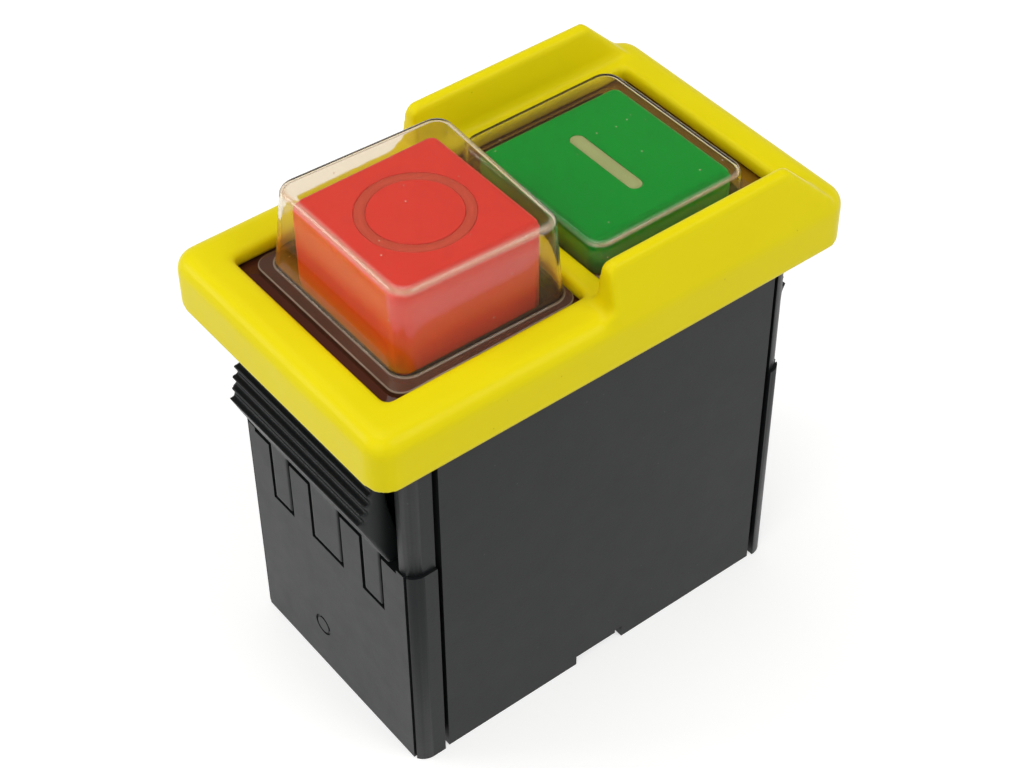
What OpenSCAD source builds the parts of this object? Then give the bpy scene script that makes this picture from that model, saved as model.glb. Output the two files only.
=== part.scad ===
// No-volt push-button switch for power tools, snapped into a panel.
// Millimetres. X is the long axis with the stop button at -X, Y the short
// axis, Z up. Z = 0 is the open underside and panel_z the face on the panel.

/* [Panel fit] */
// Length of the body that passes through the panel
body_l = 44.6; // [43:0.1:46]
// Width of the body that passes through the panel
body_w = 26.8; // [26.2:0.1:28]
// Depth of the body behind the panel
body_h = 41.5; // [40.6:0.1:44]

/* [Bezel] */
// Overhang of the bezel beyond the body at each end
bezel_end_over = 3.9; // [3.6:0.1:4.6]
// Overhang of the bezel beyond the body on each long side
bezel_side_over = 2.35; // [2.1:0.05:3]
// Height of the bezel above the panel
bezel_h = 5.7; // [5.6:0.1:6.4]
// Corner radius of the bezel in plan
bezel_corner_r = 2.2; // [2:0.1:2.8]
// Radius of the bezel's top outer edge
bezel_edge_r = 1.7; // [1.2:0.1:1.8]
// Thickness of the bezel's outer walls
bezel_wall = 1.5; // [1.2:0.05:1.7]
// Thickness of the bezel's top plate
bezel_plate = 1.6; // [1.4:0.05:1.75]
// Width of the flat rim at each end
end_rim = 4.05; // [3.8:0.05:4.4]
// Width of the flat rim along each side
side_rim = 4.35; // [4.1:0.05:4.6]
// Width of the crossbar between the windows
bar_w = 2.3; // [2:0.1:2.6]
// Radius of the windows' top edges
window_roll = 0.5; // [0.3:0.05:0.6]
// Catch of the bezel's snap ribs under the deck
snap_catch = 0.35; // [0.25:0.05:0.5]
// Length of a snap rib
snap_l = 9; // [6:0.5:12]

/* [Guards] */
// Height of a guard wall above the bezel
guard_h = 4.85; // [4:0.05:6]
// Distance of the guard's ridge line in from the bezel's side
guard_inset = 1.95; // [1.8:0.05:2.2]
// Radius of the guard's ridge
guard_ridge_r = 0.75; // [0.6:0.05:0.9]
// Distance that the guard reaches past the middle, towards the stop side
guard_start = 1.2; // [0.8:0.1:1.6]
// Radius of the guard's upper corner at that end
guard_nose_r = 1.2; // [0.8:0.1:1.8]
// Distance of the ridge's far end from the middle
guard_ridge_end = 19.2; // [17:0.1:20]
// Length of the ramp beyond the ridge
guard_ramp = 4.9; // [4.5:0.1:5.6]
// Fillet between the guard's inner face and the rim
guard_fillet_r = 0.6; // [0.4:0.1:0.7]

/* [Buttons] */
// Distance of each button's centre from the middle
button_x = 10.5; // [10.4:0.05:10.6]
// Length of the stop cap along X
stop_cap_l = 15.2; // [14.6:0.1:15.6]
// Length of the start cap along X
start_cap_l = 16.2; // [15.4:0.1:16.4]
// Width of the stop cap along Y
stop_cap_w = 15.3; // [14.8:0.1:16]
// Width of the start cap along Y
start_cap_w = 16.3; // [15.6:0.1:16.6]
// Height of the stop cap above the panel
stop_top = 12.0; // [11.4:0.1:12.8]
// Height of the start cap above the panel
start_top = 6.9; // [6.6:0.1:7.6]
// Wall of both caps
cap_wall = 1.2; // [1:0.1:1.4]
// Corner radius of the caps in plan
cap_corner_r = 0.9; // [0.8:0.1:1.2]
// Radius of the caps' top edges
cap_edge_r = 0.6; // [0.4:0.1:0.7]
// Gap between a cap and its hole in the deck
cap_gap = 0.3; // [0.3:0.05:0.35]
// Travel of the stop button
stop_travel = 3.5; // [2.5:0.1:3.8]
// Travel of the start button and of the carriage under it
start_travel = 3.0; // [2.2:0.1:3.2]
// Diameter of the stop stem
stop_stem_d = 4.0; // [3.4:0.1:4.4]
// Diameter of the start stem and of the carriage's boss
start_stem_d = 5.0; // [4.4:0.1:5.4]
// Reach of a retaining hook under the deck
hook_reach = 0.9; // [0.7:0.1:1.1]
// Width of a retaining hook
hook_w = 6; // [4:0.5:8]
// Outside diameter of the engraved ring on the stop cap
ring_d = 10.5; // [9:0.1:11.5]
// Line width of the engraved ring
ring_line = 1.0; // [0.7:0.1:1.4]
// Length of the engraved bar on the start cap
mark_l = 9.4; // [8:0.1:11]
// Width of the engraved bar
mark_w = 1.5; // [1:0.1:2]
// Depth of both engraved marks
mark_depth = 0.2; // [0.1:0.05:0.3]

/* [Boots] */
// Thickness of the clamped flange
flange_t = 1.0; // [0.8:0.05:1.2]
// Wall of the boots
boot_wall = 0.6; // [0.5:0.05:0.65]
// Thickness of the boots' tops
boot_top = 0.8; // [0.6:0.05:1]
// Gap between a cap's top and its boot
boot_gap = 0.3; // [0.3:0.05:0.4]
// Gap between a cap's side and its boot along X
boot_gap_x = 0.3; // [0.3:0.05:0.35]
// Gap between a cap's side and its boot along Y
boot_gap_y = 0.5; // [0.35:0.05:0.7]
// Corner radius of the boots in plan
boot_corner_r = 1.7; // [1.6:0.1:2.2]
// Radius of the boots' top edges
boot_edge_r = 1.0; // [0.8:0.1:1.1]
// Height of the bead round a boot's foot
bead_h = 0.7; // [0.4:0.1:0.9]
// Extra length of that bead over the boot along X
bead_over = 1.1; // [1:0.1:1.4]
// Width of that bead along Y
bead_w = 20.4; // [20:0.1:21]
// Shift of that bead away from the crossbar
bead_shift = 0.5; // [0.4:0.05:0.8]

/* [Housing] */
// Thickness of the deck that the boots lie on
deck_t = 1.6; // [1.3:0.1:1.8]
// Gap between the deck's edge and the bezel's wall
deck_gap = 0.15; // [0.1:0.05:0.2]
// Thickness of the long side plates
plate_t = 1.4; // [1.2:0.05:1.5]
// Distance of the side plates in from the lower columns' faces
plate_in = 0.15; // [0.1:0.05:0.25]
// Step from the lower to the upper columns
column_step = 0.3; // [0.2:0.05:0.4]
// Width of the columns at the stop end
stop_column_w = 3.1; // [2.8:0.1:3.4]
// Width of the columns at the start end
start_column_w = 1.8; // [1.8:0.1:2.2]
// Gap between a side plate and the columns beside it
column_gap = 0.55; // [0.45:0.05:0.7]
// Thickness of a lower column seen from the end
column_t = 2.2; // [1.9:0.05:2.4]
// Thickness of an upper column seen from the end
upper_column_t = 1.6; // [1.5:0.05:1.7]
// Corner radius of the lower columns
column_r = 1.7; // [1.3:0.05:1.75]
// Depth of the columns' seam below the panel
seam_depth = 15.3; // [14.5:0.1:16]
// Width of the notch in each side plate's lower edge
notch_w = 5.8; // [5:0.1:7]
// Height of that notch
notch_h = 1.5; // [1:0.1:1.6]
// Thickness of the partition above the mechanism
partition_t = 1.4; // [1.2:0.1:1.6]
// Depth of the partition's lower face below the panel
partition_depth = 5.4; // [5.2:0.1:5.6]
// Wall of the guide tubes on the partition
tube_wall = 1.2; // [1:0.1:1.4]
// Height of the guide tubes above the partition
tube_h = 3.6; // [3:0.1:3.8]
// Running clearance of the stems in their tubes, on radius
stem_clear = 0.05; // [0.03:0.01:0.09]

/* [Base] */
// Thickness of the end walls
end_wall_t = 1.25; // [1.1:0.05:1.35]
// Thickness of the inner long walls
inner_wall_t = 1.4; // [1.2:0.1:1.5]
// Gap between the inner long walls and the side plates
shell_gap = 0.05; // [0.05:0.05:0.15]
// Height of the floor's underside, the depth of the wiring wells
well_h = 9.6; // [9:0.1:9.8]
// Thickness of the floor
floor_t = 1.4; // [1.2:0.1:1.5]
// Thickness of the ribs between the wells
well_rib_t = 1.2; // [1:0.1:1.6]
// Diameter of the post under the stop spring
post_d = 7; // [6.4:0.1:7.6]
// Height of that post above the floor
post_h = 9; // [8:0.1:9.4]
// Diameter of the moulded disc on each end wall
disc_d = 2.4; // [1.8:0.1:3]

/* [Panel latches] */
// Gap between a latch and the inner walls along its width
latch_side_gap = 1.5; // [1.3:0.1:2.3]
// Bevel at each end of the ridges
ridge_bevel = 0.3; // [0.2:0.1:1]
// Reach of the lowest ridge beyond the end wall
latch_reach = 2.85; // [2.4:0.05:3.1]
// Depth of the lowest ridge below the panel
latch_tip_depth = 8.7; // [8:0.1:9]
// Distance from ridge to ridge
ridge_pitch = 1.1; // [1:0.05:1.15]
// Loss of reach from each ridge to the one above
ridge_step = 0.3; // [0.2:0.02:0.32]
// Depth of the groove above each ridge
ridge_cut = 0.5; // [0.3:0.05:0.6]
// Number of ridges
ridge_n = 6; // [5:1:6]
// Width of the outer legs
side_leg_w = 2.7; // [2.4:0.1:2.9]
// Distance from the end of a latch to the middle of a side leg
side_leg_in = 3.05; // [2.9:0.05:3.2]
// Width of the middle leg
mid_leg_w = 4.4; // [4:0.1:4.6]
// Gap round a leg in its window
leg_gap = 0.35; // [0.3:0.05:0.4]
// Depth of the legs' lower ends below the panel
leg_depth = 22.5; // [22:0.1:22.6]
// Diameter of the latch's pivot rod
rod_d = 1.6; // [1.4:0.1:1.6]
// Running clearance of the rod, on radius
rod_clear = 0.06; // [0.04:0.01:0.09]

/* [Contactor] */
// Distance of the coil's axis from the middle
coil_x = 10.2; // [10.1:0.05:10.3]
// Length of the magnet yoke
yoke_l = 13.2; // [12.6:0.1:13.4]
// Gap between the carriage springs and the wings
spring_room = 0.25; // [0.2:0.05:0.4]
// Height of the yoke's pole faces above the floor
pole_h = 14; // [13.6:0.1:14.2]
// Thickness of the yoke's lower bar
yoke_bar_t = 2.4; // [2:0.1:2.4]
// Width of the yoke's middle limb
core_w = 3.6; // [3.2:0.1:3.8]
// Width of the yoke's outer limbs
limb_w = 1.8; // [1.6:0.1:1.9]
// Thickness of the armature
armature_t = 2.2; // [1.8:0.1:2.3]
// Clearance between armature and poles when pressed
pole_clear = 0.08; // [0.05:0.01:0.1]
// Wall of the coil bobbin
bobbin_wall = 0.6; // [0.5:0.05:0.7]
// Thickness of the bobbin's end flanges
bobbin_flange = 0.7; // [0.6:0.05:0.9]
// Thickness of the copper winding
winding_t = 1.9; // [1.6:0.1:2]
// Height of the carriage block
carriage_h = 4.9; // [4.6:0.1:5]
// Length of the carriage block along X
carriage_l = 8; // [7:0.1:8.4]
// Width of a bridge contact
bridge_w = 2.0; // [1.7:0.1:2.2]
// Length of a bridge contact
bridge_l = 12; // [11.4:0.1:12.2]
// Gap between the carriage wings and the inner walls
wing_gap = 0.7; // [0.6:0.05:1]
// Thickness of the contact strips
strip_t = 0.6; // [0.5:0.05:0.7]
// Diameter of the main contact tips
tip_d = 2.4; // [2:0.1:2.6]
// Height of the main contact tips
tip_h = 0.7; // [0.6:0.05:0.8]
// Distance between the two contact tips of a bridge
tip_pitch = 9.6; // [9.4:0.1:9.8]
// Clearance between contact tips when closed
tip_clear = 0.08; // [0.05:0.01:0.1]

/* [Terminals] */
// Width of a push-on tab
tab_w = 6.3; // [6.2:0.1:6.4]
// Thickness of a push-on tab
tab_t = 0.8; // [0.7:0.05:0.85]
// Length of a tab below the floor
tab_l = 8.0; // [7:0.1:8.4]
// Diameter of the detent hole in a tab
tab_hole_d = 1.8; // [1.6:0.1:2]
// Distance of the detent hole from the end of a tab
tab_hole_up = 4.0; // [3.6:0.1:4.4]
// Side of the corner cut off the end of a tab
tab_chamfer = 1.4; // [1:0.1:1.8]
// Distance of the tabs from the middle along X
tab_x = 12; // [11.8:0.1:12.2]
// Distance of the tabs from the inner walls
tab_in = 4.8; // [4.6:0.1:5]
// Width of the upright contact arms
arm_w = 3.2; // [2.8:0.1:3.2]
// Diameter of the coil leads
lead_d = 0.8; // [0.6:0.1:0.9]

/* [Springs] */
// Wire diameter of the button springs
button_wire = 0.6; // [0.5:0.05:0.7]
// Wire diameter of the small springs
small_wire = 0.35; // [0.3:0.05:0.4]
// Outside diameter of the stop spring
stop_spring_d = 6.2; // [5.8:0.1:6.6]
// Outside diameter of the start spring
start_spring_d = 10.2; // [9.8:0.1:10.6]
// Outside diameter of the carriage springs
carriage_spring_d = 2.3; // [2.1:0.1:2.4]
// Outside diameter of the bridge springs
bridge_spring_d = 1.9; // [1.7:0.1:2]

/* [Hidden] */
$fn = 48;
eps = 0.01;
panel_z = body_h;
bezel_l = body_l + 2 * bezel_end_over;
bezel_w = body_w + 2 * bezel_side_over;
bezel_z = panel_z + bezel_h;
plate_z = bezel_z - bezel_plate;
deck_z = plate_z - flange_t;
deck_low = deck_z - deck_t;
recess_l = bezel_l - 2 * bezel_wall;
recess_w = bezel_w - 2 * bezel_wall;
deck_l = recess_l - 2 * deck_gap;
deck_w = recess_w - 2 * deck_gap;
window_end = bezel_l / 2 - end_rim;
window_l = window_end - bar_w / 2;
window_w = bezel_w - 2 * side_rim;
ridge_y = bezel_w / 2 - guard_inset;
ridge_z = bezel_z + guard_h;

plate_y = body_w / 2 - plate_in;
plate_inner_y = plate_y - plate_t;
inner_y = plate_inner_y - shell_gap;
well_y = inner_y - inner_wall_t;
wing_wall = 0.7;
bridge_room = 0.2;
bridge_y = well_y - wing_gap - wing_wall - bridge_room - bridge_w / 2;
wing_in = bridge_y - bridge_w / 2 - bridge_room - wing_wall;
wing_out = bridge_y + bridge_w / 2 + bridge_room + wing_wall;
spring_side = 0.15;
yoke_w = 2 * (wing_in - spring_room - carriage_spring_d - spring_side);
tab_y = well_y - tab_in;
latch_half = inner_y - latch_side_gap;
ridge_half = latch_half - ridge_bevel;
side_leg_y = latch_half - side_leg_in;
ear_y = (mid_leg_w + 2 * side_leg_y - side_leg_w) / 4;
ear_t = 1.6;
stop_column_x = -body_l / 2 + stop_column_w;
start_column_x = body_l / 2 - start_column_w;
plate_x0 = stop_column_x + column_gap;
plate_x1 = start_column_x - column_gap;
end_x = body_l / 2 - 0.15;
end_inner_x = end_x - end_wall_t;
seam_z = panel_z - seam_depth;
base_top_z = seam_z - 0.5;
partition_z = panel_z - partition_depth;
partition_top = partition_z + partition_t;
tube_top = partition_top + tube_h;
pocket_x = body_l / 2 - 4.25;
pocket_wall_t = 1.0;
pocket_roof_z = panel_z - 2.2;
pocket_roof_t = 0.8;
floor_z = well_h + floor_t;

cap_low = deck_z - 0.65;
stop_cap_z = panel_z + stop_top;
start_cap_z = panel_z + start_top;
hook_z = deck_low - 0.35;
hook_t = 1.2;
hook_drop = cap_low - hook_z + hook_t;

pole_z = floor_z + pole_h;
armature_z = pole_z + pole_clear + start_travel;
carriage_z = armature_z + armature_t;
carriage_top = carriage_z + carriage_h;
boss_top = partition_z + start_travel + 0.8;
start_stem_z = boss_top + 0.3;
bobbin_z = floor_z + yoke_bar_t + 0.1;
bobbin_top = pole_z - 1.0;
bobbin_l = yoke_l - 2 * limb_w - 0.4;
core_gap = 0.1;
wing_half = 2;
bridge_z = carriage_z - 0.2;
wing_low = bridge_z - 0.8;
wing_window_h = 3.7;
moving_tip_z = bridge_z - tip_h;
fixed_tip_top = moving_tip_z - start_travel - tip_clear;
arm_top = fixed_tip_top - tip_h;
arm_y = well_y - tab_t;
lead_gap = 0.02;
lead_y = yoke_w / 2 + core_gap + bobbin_wall + winding_t + lead_d / 2 + lead_gap;
lead_in = 1.5;
lead_start = 1;
lead_hold_rise = 6;
lead_stop_rise = 3;
lead_side = 1.6;
lead_sink = 0.05;
lead_low = 2;

stop_bridge_z = partition_z - 4.6;
stop_tip_in = 4.1;
stop_tip_y = well_y - stop_tip_in;
stop_bridge_end = 1.2;
stop_bridge_half = stop_tip_y + stop_bridge_end;
stop_bridge_w = 4.4;
stop_strip_half = 2;
stop_strip_end = 1.5;
stop_wall_gap = 0.3;
stop_foot_l = 4;
stop_foot_in = 0.8;
stop_foot_w = 1.4;
stop_tip_d = 2.6;
stop_fixed_z = stop_bridge_z + strip_t + tip_h + tip_clear;
stop_strip_z = stop_fixed_z + tip_h;
pin_d = 2;
post_top = floor_z + post_h;

rod_x = body_l / 2 - 2.6;
rod_z = panel_z - leg_depth - 0.9;
leg_z = panel_z - leg_depth;
latch_foot_z = panel_z - seam_depth + 0.1;
latch_tip_z = panel_z - latch_tip_depth;
latch_back_x = body_l / 2 + 0.1;

// Rectangle with rounded corners, centred.
module plan(l, w, r) {
    square([l - 2 * r, w], center = true);
    square([l, w - 2 * r], center = true);
    for (x = [-1, 1], y = [-1, 1])
        translate([x * (l / 2 - r), y * (w / 2 - r)]) circle(r);
}

// Upright section of width w with rounded top edges, standing on y = 0.
module arch(w, h, r) {
    translate([-w / 2, 0]) square([w, h - r]);
    translate([-w / 2 + r, 0]) square([w - 2 * r, h]);
    for (x = [-1, 1]) translate([x * (w / 2 - r), h - r]) circle(r);
}

// Section in X and Z, drawn out along Y.
module along_y(w) {
    rotate([90, 0, 0]) linear_extrude(w, center = true) children();
}

// Section in Y and Z, drawn out along X.
module along_x(l) {
    rotate([90, 0, 90]) linear_extrude(l, center = true) children();
}

// Block with rounded upright corners and a rounded top edge.
module moulded_block(l, w, h, corner, edge) {
    along_x(l - 2 * corner) arch(w, h, edge);
    along_y(w - 2 * corner) arch(l, h, edge);
    for (x = [-1, 1], y = [-1, 1])
        translate([x * (l / 2 - corner), y * (w / 2 - corner), 0])
            rotate_extrude() {
                square([corner, h - edge]);
                square([corner - edge, h]);
                translate([corner - edge, h - edge])
                    intersection() {
                        circle(edge);
                        square(edge);
                    }
            }
}

// Box from one corner to the opposite one.
module span(a, b) {
    translate(a) cube(b - a);
}

// Round bar between two points.
module rod_between(a, b, d) {
    v = b - a;
    n = norm(v);
    translate(a)
        rotate([0, acos(v[2] / n), atan2(v[1], v[0])])
            cylinder(d = d, h = n, $fn = 20);
}

// Round wire through a list of points.
module wire(points, d) {
    for (i = [0 : len(points) - 2]) rod_between(points[i], points[i + 1], d);
    for (i = [1 : len(points) - 2]) translate(points[i]) sphere(d = d, $fn = 20);
}

// Coil spring of round wire standing between two heights.
module coil_spring(d, wire_d, z0, z1, turns) {
    sides = 6;
    steps = round(turns * 14);
    r = (d - wire_d) / 2;
    low = z0 + wire_d / 2;
    rise = z1 - z0 - wire_d;
    points = [for (i = [0 : steps], j = [0 : sides - 1])
        let (a = 360 * turns * i / steps, b = 360 * j / sides,
             q = r + wire_d / 2 * cos(b))
        [q * cos(a), q * sin(a), low + rise * i / steps + wire_d / 2 * sin(b)]];
    walls = [for (i = [0 : steps - 1], j = [0 : sides - 1])
        [i * sides + j, i * sides + (j + 1) % sides,
         (i + 1) * sides + (j + 1) % sides, (i + 1) * sides + j]];
    first = [for (j = [0 : sides - 1]) sides - 1 - j];
    last = [for (j = [0 : sides - 1]) steps * sides + j];
    polyhedron(points, concat(walls, [first, last]), convexity = 10);
}

// Guard in cross-section: leaning outer face, round ridge, filleted foot.
module guard_section() {
    rise = guard_h - guard_ridge_r;
    out = bezel_w / 2;
    foot = ridge_y - guard_ridge_r - 0.5;
    polygon([[out - 0.06, bezel_h - bezel_edge_r - 0.4],
             [out - 0.06, bezel_h - bezel_edge_r + 0.5],
             [ridge_y + guard_ridge_r - 0.04, bezel_h + rise + 0.1],
             [ridge_y, bezel_h + rise],
             [ridge_y - guard_ridge_r + 0.02, bezel_h + rise - 0.05],
             [foot, bezel_h],
             [foot, bezel_h - bezel_edge_r - 0.4]]);
    translate([ridge_y, bezel_h + rise]) circle(guard_ridge_r);
    difference() {
        translate([foot - guard_fillet_r, bezel_h - 0.3])
            square([guard_fillet_r + 0.35, guard_fillet_r + 0.3]);
        translate([foot - guard_fillet_r, bezel_h + guard_fillet_r])
            circle(guard_fillet_r);
    }
}

// Guard seen from the side: rounded nose, level ridge, ramp.
module guard_outline() {
    low = bezel_h - bezel_edge_r - 0.4;
    top = bezel_h + guard_h;
    translate([-guard_start, low])
        square([guard_ridge_end + guard_start, top - guard_nose_r - low]);
    translate([-guard_start + guard_nose_r, low])
        square([guard_ridge_end + guard_start - guard_nose_r, top - low]);
    translate([-guard_start + guard_nose_r, top - guard_nose_r])
        circle(guard_nose_r);
    polygon([[guard_ridge_end - eps, low], [guard_ridge_end - eps, top],
             [guard_ridge_end + guard_ramp, bezel_h - 0.15],
             [guard_ridge_end + guard_ramp, low]]);
    difference() {
        translate([-guard_start - 0.8, bezel_h - 0.5]) square([0.9, 1.3]);
        translate([-guard_start - 0.8, bezel_h + 0.8]) circle(0.8);
    }
}

// Section above a rolled edge whose wall stands at x.
module roll_section(x) {
    difference() {
        translate([x - 0.1, -window_roll]) square([window_roll + 0.1, window_roll + 0.4]);
        translate([x + window_roll, -window_roll]) circle(window_roll);
    }
}

// Opening round a button, measured down from the bezel's top.
module window() {
    corner = 0.6;
    translate([0, 0, -bezel_plate - 1])
        linear_extrude(bezel_plate + 1.4) plan(window_l, window_w, corner);
    for (m = [0, 1]) {
        mirror([m, 0, 0]) along_y(window_w - 2 * corner) roll_section(window_l / 2);
        mirror([0, m, 0]) along_x(window_l - 2 * corner) roll_section(window_w / 2);
    }
    for (x = [-1, 1], y = [-1, 1])
        translate([x * (window_l / 2 - corner), y * (window_w / 2 - corner), 0])
            rotate_extrude() {
                translate([0, -window_roll]) square([corner, window_roll + 0.4]);
                roll_section(corner);
            }
}

// Yellow frame that clamps the boots and hides the cut-out's edge.
module bezel() {
    color("gold")
    union() {
        difference() {
            union() {
                translate([0, 0, panel_z])
                    moulded_block(bezel_l, bezel_w, bezel_h, bezel_corner_r, bezel_edge_r);
                for (m = [0, 1]) mirror([0, m, 0])
                    translate([0, 0, panel_z])
                        intersection() {
                            along_x(2 * bezel_l) guard_section();
                            along_y(2 * bezel_w) guard_outline();
                            linear_extrude(4 * bezel_h)
                                plan(bezel_l - 0.12, bezel_w - 0.12, bezel_corner_r);
                        }
            }
            translate([0, 0, panel_z - 1])
                linear_extrude(plate_z - panel_z + 1) plan(recess_l, recess_w, bezel_corner_r - 1.2);
            for (m = [0, 1]) mirror([m, 0, 0])
                translate([window_end - window_l / 2, 0, bezel_z]) window();
        }
        for (m = [0, 1], x = [-1, 1]) mirror([0, m, 0])
            translate([x * bezel_l / 4, deck_w / 2, deck_low - 0.1])
                along_x(snap_l)
                    polygon([[deck_gap + 0.3, 0], [-snap_catch, 0],
                             [-snap_catch, -0.4], [deck_gap, -1.1], [deck_gap + 0.3, -1.1]]);
    }
}

// Corner post with one rounded outer corner at x, y.
module column(l, t, r, z0, z1, x, y) {
    translate([x - l, y - t, z0]) cube([l - r, t, z1 - z0]);
    translate([x - l, y - t, z0]) cube([l, t - r, z1 - z0]);
    intersection() {
        translate([x - r, y - r, z0]) cylinder(r = r, h = z1 - z0);
        span([x - l, y - t, z0 - 1], [x + 1, y + 1, z1 + 1]);
    }
}

// The four columns of one level.
module columns(inset, t, z0, z1) {
    x = body_l / 2 - inset;
    y = body_w / 2 - inset;
    r = column_r - inset;
    for (m = [0, 1]) mirror([0, m, 0]) {
        column(start_column_w - inset, t, r, z0, z1, x, y);
        mirror([1, 0, 0]) column(stop_column_w - inset, t, r, z0, z1, x, y);
    }
}

// Black top moulding: deck, side plates, upper columns, latch pockets and guides.
module upper_housing() {
    half = pocket_x - pocket_wall_t;
    roof = pocket_roof_z + pocket_roof_t;
    end = body_l / 2 - column_step;
    color("dimgray")
    difference() {
        union() {
            translate([0, 0, deck_low]) linear_extrude(deck_t) plan(deck_l, deck_w, 1.4);
            for (m = [0, 1]) mirror([0, m, 0]) {
                span([plate_x0, plate_inner_y, 0], [plate_x1, plate_y, deck_low + eps]);
                span([stop_column_x - 0.5, plate_inner_y, seam_z + 0.3],
                     [start_column_x + 0.5, plate_inner_y + 0.5, deck_low + eps]);
                translate([-button_x - 2.2, well_y - 2.4, stop_strip_z + strip_t])
                    cube([4.4, 2.2, partition_z - stop_strip_z - strip_t + eps]);
            }
            columns(column_step, upper_column_t, seam_z + 0.05, deck_low + eps);
            for (m = [0, 1]) mirror([m, 0, 0]) {
                span([half, -plate_inner_y - eps, seam_z + 0.3],
                     [pocket_x, plate_inner_y + eps, roof]);
                span([half, -plate_inner_y - eps, pocket_roof_z],
                     [end, plate_inner_y + eps, roof]);
                span([end - 1.2, -plate_inner_y - 0.3, pocket_roof_z],
                     [end, plate_inner_y + 0.3, deck_low + eps]);
            }
            span([-half - eps, -plate_inner_y - eps, partition_z],
                 [half + eps, plate_inner_y + eps, partition_top]);
            translate([-button_x, 0, partition_z + eps])
                cylinder(d = stop_stem_d + 2 * tube_wall, h = tube_top - partition_z);
            translate([button_x, 0, partition_z + eps])
                cylinder(d = start_stem_d + 2 * tube_wall, h = tube_top - partition_z);
        }
        translate([-button_x, 0, deck_low - 0.5])
            linear_extrude(deck_t + 1)
                plan(stop_cap_l + 2 * cap_gap, stop_cap_w + 2 * cap_gap, cap_corner_r);
        translate([button_x, 0, deck_low - 0.5])
            linear_extrude(deck_t + 1)
                plan(start_cap_l + 2 * cap_gap, start_cap_w + 2 * cap_gap, cap_corner_r);
        translate([-button_x, 0, partition_z - 1])
            cylinder(d = stop_stem_d + 2 * stem_clear, h = tube_top - partition_z + 2);
        translate([button_x, 0, partition_z - 1])
            cylinder(d = start_stem_d + 2 * stem_clear, h = tube_top - partition_z + 2);
        for (m = [0, 1]) mirror([0, m, 0])
            span([-notch_w / 2, plate_inner_y - 1, -1], [notch_w / 2, plate_y + 1, notch_h]);
    }
}

// Window in an end wall for one leg of a latch.
module leg_window(y, w) {
    span([end_inner_x - 0.5, y - w / 2 - leg_gap, leg_z - leg_gap],
         [end_x + 0.5, y + w / 2 + leg_gap, base_top_z + 1]);
}

// Black lower moulding: end walls, lower columns, floor, wells and inner walls.
module base_housing() {
    half = pocket_x - pocket_wall_t - 0.15;
    color("dimgray")
    difference() {
        union() {
            columns(0, column_t, 0, seam_z);
            for (m = [0, 1]) mirror([m, 0, 0]) {
                span([end_inner_x, -inner_y - 0.5, 0], [end_x, inner_y + 0.5, base_top_z]);
                for (y = [-1, 1])
                    span([rod_x - 1.4, y * ear_y - ear_t / 2, rod_z - 1.5],
                         [end_inner_x + eps, y * ear_y + ear_t / 2, rod_z + 1.5]);
            }
            for (m = [0, 1]) mirror([0, m, 0]) {
                span([-end_inner_x - eps, well_y, 0.6], [end_inner_x + eps, inner_y, base_top_z]);
                span([-half, well_y, base_top_z - eps], [half, inner_y, partition_z - 0.1]);
                span([-notch_w / 2 + 0.4, inner_y - eps, 0.3],
                     [notch_w / 2 - 0.4, plate_y - 0.5, notch_h - 0.3]);
            }
            span([-end_inner_x - eps, -well_y - eps, well_h],
                 [end_inner_x + eps, well_y + eps, floor_z]);
            span([-well_rib_t / 2, -well_y - eps, 1.2], [well_rib_t / 2, well_y + eps, well_h + eps]);
            span([-end_inner_x - eps, -well_rib_t / 2, 1.2],
                 [end_inner_x + eps, well_rib_t / 2, well_h + eps]);
            translate([-button_x, 0, floor_z - eps]) cylinder(d = post_d, h = post_h + eps);
            translate([-button_x, 0, post_top - eps])
                cylinder(d = stop_spring_d - 2 * button_wire - 0.6, h = 2.2);
        }
        for (m = [0, 1]) mirror([m, 0, 0]) {
            leg_window(0, mid_leg_w);
            leg_window(side_leg_y, side_leg_w);
            leg_window(-side_leg_y, side_leg_w);
            translate([rod_x, 0, rod_z]) rotate([90, 0, 0])
                cylinder(d = rod_d + 2 * rod_clear, h = 2 * (ear_y + ear_t) + 0.6, center = true, $fn = 32);
            span([end_x, -inner_y - 0.5, -1], [end_x + 1, inner_y + 0.5, seam_z + 1]);
            for (y = [-1, 1])
                span([end_x - 0.3, y * (inner_y + 0.65) - 0.15, -1],
                     [end_x + 1, y * (inner_y + 0.65) + 0.15, base_top_z + 2]);
            translate([end_x - 0.15, 2.3, panel_z - 35.6]) rotate([0, 90, 0])
                difference() {
                    cylinder(d = disc_d, h = 1);
                    translate([0, 0, -1]) cylinder(d = disc_d - 0.6, h = 3);
                }
        }
        for (x = [-1, 1], y = [-1, 1])
            translate([x * tab_x, y * tab_y, well_h + floor_t / 2])
                cube([tab_w + 0.1, tab_t + 0.1, floor_t + 1], center = true);
    }
}

// Clear cover: clamped flange, bead round the foot, thin cap.
module boot(cap_l, cap_w, cap_z) {
    l = cap_l + 2 * boot_gap_x;
    w = cap_w + 2 * boot_gap_y;
    inside = cap_z + boot_gap;
    difference() {
        union() {
            translate([0, 0, deck_z])
                moulded_block(l + 2 * boot_wall, w + 2 * boot_wall, inside + boot_top - deck_z,
                              boot_corner_r, boot_edge_r);
            translate([bead_shift, 0, deck_z])
                linear_extrude(flange_t + bead_h) plan(l + 2 * boot_wall + bead_over, bead_w, boot_corner_r);
            span([0.15 - button_x, -deck_w / 2 + 0.3, deck_z],
                 [deck_l / 2 - button_x - 0.3, deck_w / 2 - 0.3, plate_z]);
        }
        translate([0, 0, deck_z - 1])
            moulded_block(l, w, inside - deck_z + 1, boot_corner_r - boot_wall, boot_edge_r - 0.3);
    }
}

// Clear cover over the stop button.
module stop_boot() {
    color("lightgray", 0.35)
    mirror([1, 0, 0]) translate([button_x, 0, 0]) boot(stop_cap_l, stop_cap_w, stop_cap_z);
}

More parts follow.
